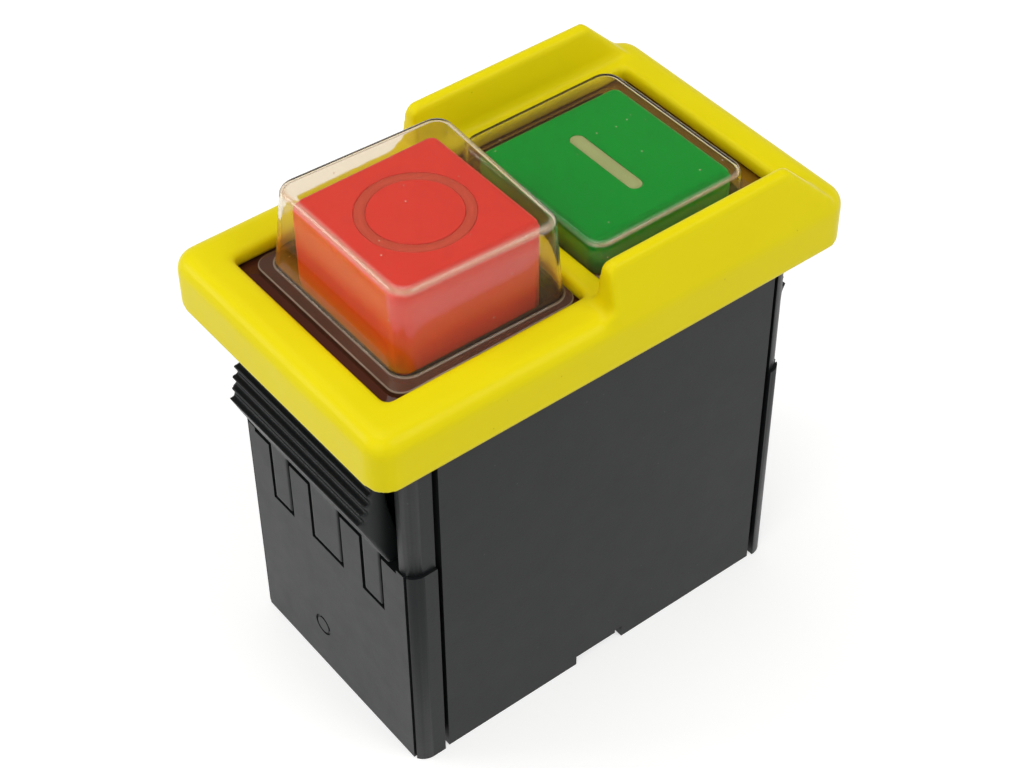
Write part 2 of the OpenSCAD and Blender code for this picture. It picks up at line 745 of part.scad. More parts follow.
// Clear cover over the start button.
module start_boot() {
    color("lightgray", 0.35)
    translate([button_x, 0, 0]) boot(start_cap_l, start_cap_w, start_cap_z);
}

// Hollow cap with two hooks that hold it under the deck.
module cap(l, w, z) {
    difference() {
        translate([0, 0, cap_low])
            moulded_block(l, w, z - cap_low, cap_corner_r, cap_edge_r);
        translate([0, 0, cap_low - 1])
            linear_extrude(z - cap_low + 1 - cap_wall)
                plan(l - 2 * cap_wall, w - 2 * cap_wall, cap_corner_r - cap_wall / 2);
    }
    for (m = [0, 1]) mirror([0, m, 0]) {
        translate([-hook_w / 2, w / 2 - cap_wall, cap_low - hook_drop])
            cube([hook_w, cap_wall, hook_drop + 1]);
        translate([-hook_w / 2, w / 2 - cap_wall, hook_z - hook_t])
            cube([hook_w, cap_wall + cap_gap + hook_reach, hook_t]);
    }
}

// Red cap with a long stem that opens the stop contact.
module stop_button() {
    color("red")
    translate([-button_x, 0, 0])
    difference() {
        union() {
            cap(stop_cap_l, stop_cap_w, stop_cap_z);
            translate([0, 0, stop_bridge_z + strip_t])
                cylinder(d = stop_stem_d, h = stop_cap_z - stop_bridge_z - strip_t - cap_wall + eps);
            translate([0, 0, stop_bridge_z - 1])
                cylinder(d = pin_d, h = strip_t + 1 + eps);
            translate([0, 0, tube_top + stop_travel + 0.6])
                cylinder(d = stop_stem_d + 2.4,
                         h = stop_cap_z - tube_top - stop_travel - 0.6 - cap_wall + eps);
        }
        translate([0, 0, stop_cap_z - mark_depth])
            difference() {
                cylinder(d = ring_d, h = 1);
                translate([0, 0, -1]) cylinder(d = ring_d - 2 * ring_line, h = 3);
            }
    }
}

// Green cap with a short stem that pushes the carriage.
module start_button() {
    color("green")
    translate([button_x, 0, 0])
    difference() {
        union() {
            cap(start_cap_l, start_cap_w, start_cap_z);
            translate([0, 0, start_stem_z])
                cylinder(d = start_stem_d, h = start_cap_z - start_stem_z - cap_wall + eps);
        }
        translate([0, 0, start_cap_z - mark_depth])
            linear_extrude(1) plan(mark_w, mark_l, mark_w / 2 - eps);
    }
}

// Spring that lifts the stop bridge and the stop button.
module stop_spring() {
    color("silver")
    translate([-button_x, 0, 0])
        coil_spring(stop_spring_d, button_wire, post_top, stop_bridge_z, 6);
}

// Spring round the start button's guide tube.
module start_spring() {
    color("silver")
    translate([button_x, 0, 0])
        coil_spring(start_spring_d, button_wire, partition_top, start_cap_z - cap_wall, 5);
}

// Strip that joins the two stop contacts, held on the stem's pin.
module stop_bridge() {
    color("goldenrod")
    translate([-button_x, 0, stop_bridge_z])
    difference() {
        translate([-stop_bridge_w / 2, -stop_bridge_half, 0])
            cube([stop_bridge_w, 2 * stop_bridge_half, strip_t]);
        translate([0, 0, -1]) cylinder(d = pin_d, h = strip_t + 2);
    }
}

// Contact tips on the stop bridge.
module stop_bridge_tips() {
    color("gainsboro")
    for (y = [-1, 1])
        translate([-button_x, y * stop_tip_y, stop_bridge_z + strip_t])
            cylinder(d = stop_tip_d, h = tip_h);
}

// Fixed half of the stop contact, under its boss on the partition.
module stop_contact() {
    color("goldenrod") {
        translate([-button_x, stop_tip_y, stop_fixed_z]) cylinder(d = stop_tip_d, h = tip_h + eps);
        span([-button_x - stop_strip_half, stop_tip_y - stop_strip_end, stop_strip_z],
             [-button_x + stop_strip_half, well_y - stop_wall_gap, stop_strip_z + strip_t]);
        span([-button_x + stop_strip_half - eps, well_y - stop_foot_in - stop_foot_w, stop_strip_z],
             [-button_x + stop_foot_l, well_y - stop_foot_in, stop_strip_z + strip_t]);
    }
}

// Fixed stop contact on the front side.
module stop_contact_front() {
    mirror([0, 1, 0]) stop_contact();
}

// Fixed stop contact on the back side.
module stop_contact_back() {
    stop_contact();
}

// Slide with a guide boss, spring pockets and two windowed wings for the bridges.
module contact_carriage() {
    color("ivory")
    difference() {
        union() {
            span([button_x - carriage_l / 2, -wing_in - eps, carriage_z],
                 [button_x + carriage_l / 2, wing_in + eps, carriage_top]);
            translate([button_x, 0, carriage_top - eps])
                cylinder(d = start_stem_d, h = boss_top - carriage_top + eps);
            for (m = [0, 1]) mirror([0, m, 0])
                span([coil_x - wing_half, wing_in, wing_low],
                     [coil_x + wing_half, wing_out, carriage_top]);
        }
        for (m = [0, 1]) mirror([0, m, 0]) {
            span([coil_x - wing_half - 1, wing_in + wing_wall, bridge_z],
                 [coil_x + wing_half + 1, wing_out - wing_wall, bridge_z + wing_window_h]);
            translate([coil_x, carriage_spring_y(), carriage_z - 1])
                cylinder(d = carriage_spring_d + 0.3, h = 2.5);
        }
    }
}

// Distance of the carriage springs from the middle plane.
function carriage_spring_y() = yoke_w / 2 + carriage_spring_d / 2 + spring_side;

// Steel plate that the magnet holds down.
module armature() {
    color("darkgray")
    span([coil_x - yoke_l / 2, -yoke_w / 2, armature_z],
         [coil_x + yoke_l / 2, yoke_w / 2, carriage_z]);
}

// Return spring of the carriage.
module carriage_spring() {
    color("silver")
    translate([coil_x, carriage_spring_y(), 0])
        coil_spring(carriage_spring_d, small_wire, bobbin_top, carriage_z + 1.5, 5);
}

// Return spring on the front side.
module carriage_spring_front() {
    mirror([0, 1, 0]) carriage_spring();
}

// Return spring on the back side.
module carriage_spring_back() {
    carriage_spring();
}

// Strip that joins line and load on one side.
module bridge() {
    color("goldenrod")
    span([coil_x - bridge_l / 2, bridge_y - bridge_w / 2, bridge_z],
         [coil_x + bridge_l / 2, bridge_y + bridge_w / 2, bridge_z + strip_t]);
}

// Bridge contact on the front side.
module bridge_front() {
    mirror([0, 1, 0]) bridge();
}

// Bridge contact on the back side.
module bridge_back() {
    bridge();
}

// Contact tips under one bridge.
module bridge_tips() {
    color("gainsboro")
    for (x = [-1, 1])
        translate([coil_x + x * tip_pitch / 2, bridge_y, moving_tip_z])
            cylinder(d = tip_d, h = tip_h);
}

// Contact tips under the front bridge.
module bridge_tips_front() {
    mirror([0, 1, 0]) bridge_tips();
}

// Contact tips under the back bridge.
module bridge_tips_back() {
    bridge_tips();
}

// Spring that presses one bridge on its sill.
module bridge_spring() {
    color("silver")
    translate([coil_x, bridge_y, 0])
        coil_spring(bridge_spring_d, small_wire, bridge_z + strip_t, bridge_z + wing_window_h, 4);
}

// Contact spring on the front side.
module bridge_spring_front() {
    mirror([0, 1, 0]) bridge_spring();
}

// Contact spring on the back side.
module bridge_spring_back() {
    bridge_spring();
}

// Three-limbed steel core.
module magnet_yoke() {
    color("darkgray")
    translate([coil_x, 0, floor_z]) {
        span([-yoke_l / 2, -yoke_w / 2, 0], [yoke_l / 2, yoke_w / 2, yoke_bar_t]);
        span([-core_w / 2, -yoke_w / 2, yoke_bar_t - eps], [core_w / 2, yoke_w / 2, pole_h]);
        for (m = [0, 1]) mirror([m, 0, 0])
            span([yoke_l / 2 - limb_w, -yoke_w / 2, yoke_bar_t - eps],
                 [yoke_l / 2, yoke_w / 2, pole_h]);
    }
}

// Outline of the bobbin's tube, grown by g.
module bobbin_plan(g) {
    plan(core_w + 2 * core_gap + 2 * g, yoke_w + 2 * core_gap + 2 * g, max(0.2, g));
}

// Plastic reel on the middle limb.
module coil_bobbin() {
    color("white")
    translate([coil_x, 0, 0])
    difference() {
        union() {
            translate([0, 0, bobbin_z]) linear_extrude(bobbin_top - bobbin_z) bobbin_plan(bobbin_wall);
            for (z = [bobbin_z, bobbin_top - bobbin_flange])
                translate([0, 0, z]) linear_extrude(bobbin_flange)
                    plan(bobbin_l, yoke_w + 2 * (bobbin_wall + winding_t + 0.5), 1);
        }
        translate([0, 0, bobbin_z - 1])
            linear_extrude(bobbin_top - bobbin_z + 2) bobbin_plan(0);
    }
}

// Copper winding on the reel.
module coil_winding() {
    color("peru")
    translate([coil_x, 0, bobbin_z + bobbin_flange])
    linear_extrude(bobbin_top - bobbin_z - 2 * bobbin_flange)
    difference() {
        bobbin_plan(bobbin_wall + winding_t);
        bobbin_plan(bobbin_wall);
    }
}

// Push-on tab below the floor, bent onto the floor above it.
module tab(x) {
    low = well_h - tab_l;
    difference() {
        span([x - tab_w / 2, tab_y - tab_t / 2, low], [x + tab_w / 2, tab_y + tab_t / 2, floor_z + tab_t]);
        translate([x, tab_y, low + tab_hole_up]) rotate([90, 0, 0])
            cylinder(d = tab_hole_d, h = 3 * tab_t, center = true);
        for (m = [-1, 1])
            translate([x + m * tab_w / 2, tab_y, low]) rotate([0, 45, 0])
                cube([tab_chamfer, 3 * tab_t, tab_chamfer], center = true);
    }
    span([x - tab_w / 2, tab_y - tab_t / 2, floor_z], [x + tab_w / 2, well_y, floor_z + tab_t]);
}

// Upright arm along the wall with its contact pad.
module arm(x) {
    span([x - arm_w / 2, arm_y, floor_z], [x + arm_w / 2, well_y, arm_top]);
    span([x - arm_w / 2, bridge_y - bridge_w / 2 - bridge_room, arm_top - tab_t],
         [x + arm_w / 2, well_y, arm_top]);
}

// Terminal of the supply side.
module line_terminal() {
    color("goldenrod") {
        tab(tab_x);
        arm(coil_x + tip_pitch / 2);
        span([tab_x - tab_w / 2, arm_y - 2, floor_z],
             [coil_x + tip_pitch / 2 + arm_w / 2, well_y, floor_z + tab_t]);
    }
}

// Terminal of the motor side, led along the wall to the stop end.
module load_terminal() {
    color("goldenrod") {
        tab(-tab_x);
        arm(coil_x - tip_pitch / 2);
        span([-tab_x - tab_w / 2, arm_y - 1.8, floor_z],
             [coil_x - tip_pitch / 2 + arm_w / 2, well_y, floor_z + tab_t]);
    }
}

// Supply terminal on the front side.
module line_terminal_front() {
    mirror([0, 1, 0]) line_terminal();
}

// Supply terminal on the back side.
module line_terminal_back() {
    line_terminal();
}

// Motor terminal on the front side.
module load_terminal_front() {
    mirror([0, 1, 0]) load_terminal();
}

// Motor terminal on the back side.
module load_terminal_back() {
    load_terminal();
}

// Contact tip on an arm's pad.
module fixed_tip(side) {
    color("gainsboro")
    translate([coil_x + side * tip_pitch / 2, bridge_y, arm_top])
        cylinder(d = tip_d, h = tip_h);
}

// Tip of the front supply terminal.
module line_tip_front() {
    mirror([0, 1, 0]) fixed_tip(1);
}

// Tip of the back supply terminal.
module line_tip_back() {
    fixed_tip(1);
}

// Tip of the front motor terminal.
module load_tip_front() {
    mirror([0, 1, 0]) fixed_tip(-1);
}

// Tip of the back motor terminal.
module load_tip_back() {
    fixed_tip(-1);
}

// Lead from the coil to the back motor terminal.
module coil_lead_hold() {
    x = coil_x - tip_pitch / 2 - arm_w / 2 - lead_d / 2 - lead_gap;
    y = arm_y + tab_t / 2 - lead_sink;
    z = bobbin_z + lead_hold_rise;
    color("firebrick")
    wire([[coil_x - core_w / 2 - lead_start, lead_y, z], [x, lead_y, z], [x, y, z],
          [x, y, arm_top - lead_low]], lead_d);
}

// Lead from the coil to the back stop contact.
module coil_lead_stop() {
    x = coil_x - yoke_l / 2 - lead_side;
    y = well_y - lead_in;
    z0 = bobbin_z + lead_stop_rise;
    z1 = stop_strip_z + strip_t / 2;
    color("firebrick")
    wire([[coil_x - core_w / 2 - lead_start, lead_y, z0], [x, lead_y, z0], [x, y, z0],
          [x, y, z1], [-button_x + stop_foot_l + lead_gap, y, z1]], lead_d);
}

// Lead from the front stop contact to the front motor terminal.
module coil_lead_load() {
    y = -well_y + lead_in;
    z = stop_strip_z + strip_t / 2;
    color("firebrick")
    wire([[-button_x + stop_foot_l + lead_gap, y, z], [-lead_low, y, z],
          [-lead_low, y, floor_z + tab_t]], lead_d);
}

// Outline of a latch seen from the side, with x growing outwards.
module latch_outline() {
    tips = [for (i = [0 : ridge_n - 1])
        [end_x + latch_reach - i * ridge_step, latch_tip_z + i * ridge_pitch]];
    teeth = [for (i = [0 : ridge_n - 1], k = [0, 1])
        k == 0 ? tips[i] : tips[i] - [ridge_step + ridge_cut, 0]];
    polygon(concat([[end_inner_x, latch_foot_z], [end_x, latch_foot_z]], teeth,
                   [[latch_back_x, tips[ridge_n - 1][1]],
                    [latch_back_x - 0.5, latch_tip_z + 1],
                    [end_inner_x, latch_foot_z + 2.5]]));
}

// Outline of a latch seen from above, with bevelled ends.
module latch_plan() {
    tip = end_x + latch_reach;
    bevel = latch_half - ridge_half;
    polygon([[end_inner_x - 1, -latch_half], [tip - 0.5 - bevel, -latch_half],
             [tip - 0.5, -ridge_half], [tip + 1, -ridge_half],
             [tip + 1, ridge_half], [tip - 0.5, ridge_half],
             [tip - 0.5 - bevel, latch_half], [end_inner_x - 1, latch_half]]);
}

// One leg of a latch, from the wedge down to the pivot rod.
module latch_leg(y, w) {
    translate([0, y, 0])
        along_y(w)
            polygon([[end_x, leg_z], [end_x, latch_foot_z + 0.2], [end_inner_x, latch_foot_z + 0.2],
                     [end_inner_x - 0.3, leg_z + 2], [rod_x - 0.5, rod_z + 0.5],
                     [rod_x, rod_z - 0.6], [rod_x + 0.6, rod_z],
                     [end_inner_x - leg_gap - 0.05, leg_z]]);
}

// Ridged snap wedge on three legs and a pivot rod.
module latch() {
    color("black") {
        intersection() {
            along_y(3 * latch_half) latch_outline();
            linear_extrude(2 * body_h) latch_plan();
        }
        latch_leg(0, mid_leg_w);
        latch_leg(side_leg_y, side_leg_w);
        latch_leg(-side_leg_y, side_leg_w);
        translate([rod_x, 0, rod_z]) rotate([90, 0, 0])
            cylinder(d = rod_d, h = 2 * side_leg_y + side_leg_w, center = true, $fn = 32);
    }
}

// Snap wedge at the stop end.
module latch_stop_end() {
    mirror([1, 0, 0]) latch();
}

// Snap wedge at the start end.
module latch_start_end() {
    latch();
}

bezel();
upper_housing();
base_housing();
stop_boot();
start_boot();
stop_button();
start_button();
stop_spring();
start_spring();
stop_bridge();
stop_bridge_tips();
stop_contact_front();
stop_contact_back();
contact_carriage();
armature();
carriage_spring_front();
carriage_spring_back();
bridge_front();
bridge_back();
bridge_tips_front();
bridge_tips_back();
bridge_spring_front();
bridge_spring_back();
magnet_yoke();
coil_bobbin();
coil_winding();
line_terminal_front();
line_terminal_back();
load_terminal_front();
load_terminal_back();
line_tip_front();
line_tip_back();
load_tip_front();
load_tip_back();
coil_lead_hold();
coil_lead_stop();
coil_lead_load();
latch_stop_end();
latch_start_end();
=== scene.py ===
import bpy
import bmesh
import math
import numpy as np
from mathutils import Matrix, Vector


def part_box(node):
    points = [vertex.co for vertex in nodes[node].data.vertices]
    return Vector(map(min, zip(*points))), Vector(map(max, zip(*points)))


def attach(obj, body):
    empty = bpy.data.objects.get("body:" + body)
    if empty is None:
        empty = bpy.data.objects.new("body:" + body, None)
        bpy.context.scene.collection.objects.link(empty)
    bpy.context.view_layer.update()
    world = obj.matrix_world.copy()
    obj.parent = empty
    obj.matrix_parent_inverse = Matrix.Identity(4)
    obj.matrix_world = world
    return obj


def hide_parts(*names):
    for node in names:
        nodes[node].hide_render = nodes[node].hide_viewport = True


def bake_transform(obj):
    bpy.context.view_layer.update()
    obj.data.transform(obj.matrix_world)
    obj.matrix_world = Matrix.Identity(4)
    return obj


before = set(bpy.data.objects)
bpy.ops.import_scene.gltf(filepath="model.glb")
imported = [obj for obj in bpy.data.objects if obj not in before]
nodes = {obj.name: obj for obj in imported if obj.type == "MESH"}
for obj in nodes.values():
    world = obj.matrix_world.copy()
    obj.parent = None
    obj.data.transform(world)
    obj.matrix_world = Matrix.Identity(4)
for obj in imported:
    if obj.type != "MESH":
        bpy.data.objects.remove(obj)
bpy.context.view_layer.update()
mm = 0.001
white = (1, 1, 1, 1)
print("frame loaded:", len(nodes), "nodes")


# sRGB hex text to the linear colour that Blender's sockets take: the sRGB curve undone for each channel
def hexColour(text):
    parts = np.array([int(text[i:i + 2], 16) for i in (1, 3, 5)]) / 255.0
    linear = np.where(parts <= 0.04045, parts / 12.92, ((parts + 0.055) / 1.055) ** 2.4)
    return (*linear.tolist(), 1.0)


# adds one node, sets its properties and sockets, and joins the links that are given;
# a Map Range takes its range in at sockets 1 and 2 and its range out at 3 and 4, a Mix its colours at 6 and 7
def addNode(tree, kind, settings=None, links=None):
    node = tree.nodes.new(kind)
    for key, value in (settings or {}).items():
        if isinstance(key, str) and hasattr(node, key):
            setattr(node, key, value)
        else:
            node.inputs[key].default_value = value
    for key, source in (links or {}).items():
        tree.links.new(source, node.inputs[key])
    return node


# a new material and its node tree, with nothing in it yet
def emptyMaterial(name):
    mat = bpy.data.materials.new(name)
    mat.use_nodes = True
    mat.node_tree.nodes.clear()
    return mat, mat.node_tree


# noise scale for a pattern whose features are about this many millimetres wide
def perMm(size):
    return 1 / mm / size


# camera as solved from the photo: heading, elevation and roll in degrees, place and clip limits in mm
camera = {"heading": 37.798, "elevation": 44.317, "roll": -0.526, "place": (-91.53, -117.51, 172.4),
          "lens": 77.35, "sensor": 36.0, "nearest": 5.0, "farthest": 20000.0}


# looks along the heading, dipped by the elevation; right is level, up is square to both,
# and the roll turns these two
def placeCamera(view):
    heading, elevation, roll = (math.radians(view[angle]) for angle in ("heading", "elevation", "roll"))
    level = math.cos(elevation)
    ahead = np.array([math.sin(heading) * level, math.cos(heading) * level, -math.sin(elevation)])
    right = np.array([math.cos(heading), -math.sin(heading), 0.0])
    up = np.cross(right, ahead)
    side = math.cos(roll) * right + math.sin(roll) * up
    top = -math.sin(roll) * right + math.cos(roll) * up
    data = bpy.data.cameras.new("photoCamera")
    data.lens, data.sensor_width, data.sensor_fit = view["lens"], view["sensor"], "HORIZONTAL"
    data.clip_start, data.clip_end = view["nearest"] * mm, view["farthest"] * mm
    cam = bpy.data.objects.new("photoCamera", data)
    world = np.eye(4)
    world[:3, :] = np.stack([side, top, -ahead, np.array(view["place"]) * mm], 1)
    cam.matrix_world = Matrix(world.tolist())
    bpy.context.scene.collection.objects.link(cam)
    bpy.context.scene.camera = cam


placeCamera(camera)
print("camera placed")

# widths in metres below which points are one point and faces are slivers
meshLimits = {"seam": 1e-7, "sliver": 1e-8}


# mesh from rows of points: quads between neighbouring rows and columns, wrapped where asked,
# with a value per point in each attribute
def gridMesh(name, points, wrapRows=False, wrapColumns=True, creaseDegrees=40, attributes=None):
    rows, columns = points.shape[:2]
    index = np.arange(rows * columns).reshape(rows, columns)
    down = np.roll(index, -1, 0) if wrapRows else index[1:]
    here = index if wrapRows else index[:-1]
    if wrapColumns:
        nextHere, nextDown = np.roll(here, -1, 1), np.roll(down, -1, 1)
    else:
        here, nextHere, down, nextDown = here[:, :-1], here[:, 1:], down[:, :-1], down[:, 1:]
    quads = np.stack([here, nextHere, nextDown, down], -1).reshape(-1, 4)
    mesh = bpy.data.meshes.new(name)
    mesh.from_pydata(points.reshape(-1, 3).tolist(), [], quads.tolist())
    for label, values in (attributes or {}).items():
        layer = mesh.attributes.new(label, "FLOAT", "POINT")
        layer.data.foreach_set("value", values)
    work = bmesh.new()
    work.from_mesh(mesh)
    bmesh.ops.remove_doubles(work, verts=work.verts, dist=meshLimits["seam"])  # closes seams and poles
    bmesh.ops.dissolve_degenerate(work, edges=work.edges, dist=meshLimits["sliver"])
    bmesh.ops.recalc_face_normals(work, faces=work.faces)
    work.to_mesh(mesh)
    work.free()
    mesh.shade_smooth()
    mesh.set_sharp_from_angle(angle=math.radians(creaseDegrees))
    piece = bpy.data.objects.new(name, mesh)
    bpy.context.scene.collection.objects.link(piece)
    return piece


noiseLow, noiseHigh = 0.3, 0.7  # a noise texture seldom leaves this range
bumpMm = {"grain": 0.02, "wave": 0.1, "line": 0.01}  # full height of each kind of relief
plasticDustCore = 0.5  # share of a speck's radius that shows fully


# moulded plastic: two close tones in soft drifts, a fine tool grain in the bump, uneven gloss, pale dust
def mouldedPlastic(name, look):
    mat, tree = emptyMaterial(name)
    place = addNode(tree, "ShaderNodeTexCoord").outputs["Object"]
    drift = addNode(tree, "ShaderNodeTexNoise", {"Scale": perMm(look["driftMm"]), "Detail": 3.0},
                    {"Vector": place})
    tone = addNode(tree, "ShaderNodeMix",
                   {"data_type": "RGBA", 6: hexColour(look["colour"]), 7: hexColour(look["shade"])},
                   {0: drift.outputs["Fac"]})
    specks = addNode(tree, "ShaderNodeTexVoronoi", {"Scale": perMm(look["dustMm"])}, {"Vector": place})
    dust = addNode(tree, "ShaderNodeMapRange",
                   {1: look["dustSize"], 2: look["dustSize"] * plasticDustCore, 3: 0.0, 4: look["dustShow"]},
                   {0: specks.outputs["Distance"]})
    dusty = addNode(tree, "ShaderNodeMix", {"data_type": "RGBA", 7: hexColour(look["dustColour"])},
                    {0: dust.outputs[0], 6: tone.outputs[2]})
    rub = addNode(tree, "ShaderNodeTexNoise",
                  {"Scale": perMm(look["rubMm"]), "Detail": 4.0, "Roughness": 0.6}, {"Vector": place})
    gloss = addNode(tree, "ShaderNodeMapRange",
                    {1: noiseLow, 2: noiseHigh, 3: look["roughness"] - look["roughSpread"],
                     4: look["roughness"] + look["roughSpread"]}, {0: rub.outputs["Fac"]})
    grain = addNode(tree, "ShaderNodeTexNoise", {"Scale": perMm(look["grainMm"]), "Detail": 2.0},
                    {"Vector": place})
    wave = addNode(tree, "ShaderNodeTexNoise", {"Scale": perMm(look["waveMm"]), "Detail": 1.0},
                   {"Vector": place})
    fine = addNode(tree, "ShaderNodeBump", {"Strength": look["grainBump"], "Distance": bumpMm["grain"] * mm},
                   {"Height": grain.outputs["Fac"]})
    both = addNode(tree, "ShaderNodeBump", {"Strength": look["waveBump"], "Distance": bumpMm["wave"] * mm},
                   {"Height": wave.outputs["Fac"], "Normal": fine.outputs["Normal"]})
    skin = addNode(tree, "ShaderNodeBsdfPrincipled",
                   {"IOR": look["ior"], "Specular IOR Level": look["shine"]},
                   {"Base Color": dusty.outputs[2], "Roughness": gloss.outputs[0],
                    "Normal": both.outputs["Normal"]})
    addNode(tree, "ShaderNodeOutputMaterial", links={"Surface": skin.outputs[0]})
    return mat


# injection-moulded ABS, soft gloss: a clean bright yellow with barely visible flow
yellowAbs = mouldedPlastic("yellowMouldedAbs", {
    "colour": "#ECDC0C", "shade": "#E6D408", "driftMm": 9, "dustColour": "#8A7A20", "dustMm": 3.2,
    "dustSize": 0.03, "dustShow": 0.35, "rubMm": 3, "roughness": 0.36, "roughSpread": 0.05, "grainMm": 0.4,
    "grainBump": 0.2, "waveMm": 6, "waveBump": 0.1, "ior": 1.5, "shine": 0.1})
# glass-filled nylon, satin black with a spark-eroded grain and a few grey specks
blackNylon = mouldedPlastic("blackMouldedNylon", {
    "colour": "#161819", "shade": "#1B1D1E", "driftMm": 8, "dustColour": "#5C6060", "dustMm": 1.8,
    "dustSize": 0.05, "dustShow": 0.3, "rubMm": 2.5, "roughness": 0.4, "roughSpread": 0.025, "grainMm": 0.3,
    "grainBump": 0.35, "waveMm": 5, "waveBump": 0.07, "ior": 1.52, "shine": 0.21})
# polished ABS caps, clean and evenly coloured under their boots
capAbs = {"driftMm": 7, "dustMm": 2.5, "dustSize": 0.04, "dustShow": 0.3, "rubMm": 3, "roughness": 0.34,
          "roughSpread": 0.05, "grainMm": 0.5, "grainBump": 0.15, "waveMm": 5, "waveBump": 0.1, "ior": 1.5}
redAbs = mouldedPlastic("redMouldedAbs", {
    **capAbs, "colour": "#DC3E37", "shade": "#D53932", "dustColour": "#E88A78", "shine": 0.25})
greenAbs = mouldedPlastic("greenMouldedAbs", {
    **capAbs, "colour": "#029834", "shade": "#02902F", "dustColour": "#7FC18E", "shine": 0.12})
# filling of the engraved marks, flat and slightly chalky: a printed bar, and a ring whose duller red is
# painted shade of the groove
markPaint = {"driftMm": 3, "dustMm": 2, "dustSize": 0.04, "dustShow": 0.2, "rubMm": 1.5, "roughness": 0.55,
             "roughSpread": 0.05, "grainMm": 0.3, "grainBump": 0.3, "waveMm": 3, "waveBump": 0.1, "ior": 1.45,
             "shine": 0.25}
# the ring is a groove without paint: its duller, darker red stands in for the shade in the groove
ringGrooveShade = mouldedPlastic("ringGrooveShade", {
    **markPaint, "colour": "#CC5244", "shade": "#C44C3E", "dustColour": "#C08878"})
barPaint = mouldedPlastic("barPaint", {
    **markPaint, "colour": "#A9B588", "shade": "#A0AE7E", "dustColour": "#8FA880"})
# unfilled nylon of the carriage and the reel, waxy ivory
ivoryNylon = mouldedPlastic("ivoryMouldedNylon", {
    "colour": "#DDD8C6", "shade": "#D2CCB8", "driftMm": 4, "dustColour": "#A8A290", "dustMm": 2,
    "dustSize": 0.04, "dustShow": 0.2, "rubMm": 2, "roughness": 0.45, "roughSpread": 0.06, "grainMm": 0.4,
    "grainBump": 0.2, "waveMm": 4, "waveBump": 0.1, "ior": 1.53, "shine": 0.4})
# extruded PVC sleeve of the coil leads, dull and rubbery
leadSleeve = mouldedPlastic("redLeadSleeve", {
    "colour": "#A32A22", "shade": "#93241E", "driftMm": 3, "dustColour": "#B86A60", "dustMm": 2,
    "dustSize": 0.04, "dustShow": 0.2, "rubMm": 1, "roughness": 0.5, "roughSpread": 0.06, "grainMm": 0.3,
    "grainBump": 0.2, "waveMm": 2, "waveBump": 0.1, "ior": 1.5, "shine": 0.25})
print("plastics mixed")

metalRoughSpread = 0.07  # how far the lines raise and lower a metal's roughness


# stamped or drawn metal: one tone with tarnish drifts and fine lines along one axis
def workedMetal(name, look):
    mat, tree = emptyMaterial(name)
    place = addNode(tree, "ShaderNodeTexCoord").outputs["Object"]
    stretch = addNode(tree, "ShaderNodeMapping", {"Scale": look["lineStretch"]}, {"Vector": place})
    lines = addNode(tree, "ShaderNodeTexNoise", {"Scale": perMm(look["lineMm"]), "Detail": 2.0},
                    {"Vector": stretch.outputs[0]})
    drift = addNode(tree, "ShaderNodeTexNoise", {"Scale": perMm(look["driftMm"]), "Detail": 4.0},
                    {"Vector": place})
    tone = addNode(tree, "ShaderNodeMix",
                   {"data_type": "RGBA", 6: hexColour(look["colour"]), 7: hexColour(look["tarnish"])},
                   {0: drift.outputs["Fac"]})
    gloss = addNode(tree, "ShaderNodeMapRange",
                    {1: noiseLow, 2: noiseHigh, 3: look["roughness"] - metalRoughSpread,
                     4: look["roughness"] + metalRoughSpread}, {0: lines.outputs["Fac"]})
    cut = addNode(tree, "ShaderNodeBump", {"Strength": look["lineBump"], "Distance": bumpMm["line"] * mm},
                  {"Height": lines.outputs["Fac"]})
    skin = addNode(tree, "ShaderNodeBsdfPrincipled", {"Metallic": 1.0},
                   {"Base Color": tone.outputs[2], "Roughness": gloss.outputs[0],
                    "Normal": cut.outputs["Normal"]})
    addNode(tree, "ShaderNodeOutputMaterial", links={"Surface": skin.outputs[0]})
    return mat


# rolled brass strip of tabs and bridges, warm with lines along the strip
brassStrip = workedMetal("rolledBrassStrip", {
    "colour": "#D8B56A", "tarnish": "#B98F4A", "driftMm": 3, "lineMm": 0.2, "lineStretch": (1.0, 1.0, 0.05),
    "roughness": 0.3, "lineBump": 0.3})
# silver contact rivets, dull white
silverTip = workedMetal("silverContactRivet", {
    "colour": "#D9D8D2", "tarnish": "#BDBBB2", "driftMm": 1.5, "lineMm": 0.3, "lineStretch": (1.0, 1.0, 1.0),
    "roughness": 0.35, "lineBump": 0.2})
# drawn spring wire, grey and bright
springWire = workedMetal("drawnSpringWire", {
    "colour": "#B4B5B8", "tarnish": "#909296", "driftMm": 2, "lineMm": 0.15, "lineStretch": (1.0, 1.0, 1.0),
    "roughness": 0.28, "lineBump": 0.15})
# stacked silicon-steel sheets, 0.5 mm each, seen as lines across Y
coreSteel = workedMetal("stackedCoreSteel", {
    "colour": "#8C8E92", "tarnish": "#6E6F72", "driftMm": 4, "lineMm": 0.5, "lineStretch": (0.03, 1.0, 0.03),
    "roughness": 0.4, "lineBump": 0.8})
# enamelled copper, wound in turns of 0.2 mm drawn as 0.4 mm so that they show
copperWire = workedMetal("enamelledCopperTurns", {
    "colour": "#C4713C", "tarnish": "#A5562A", "driftMm": 5, "lineMm": 0.4, "lineStretch": (0.02, 0.02, 1.0),
    "roughness": 0.33, "lineBump": 0.9})
print("metals mixed")
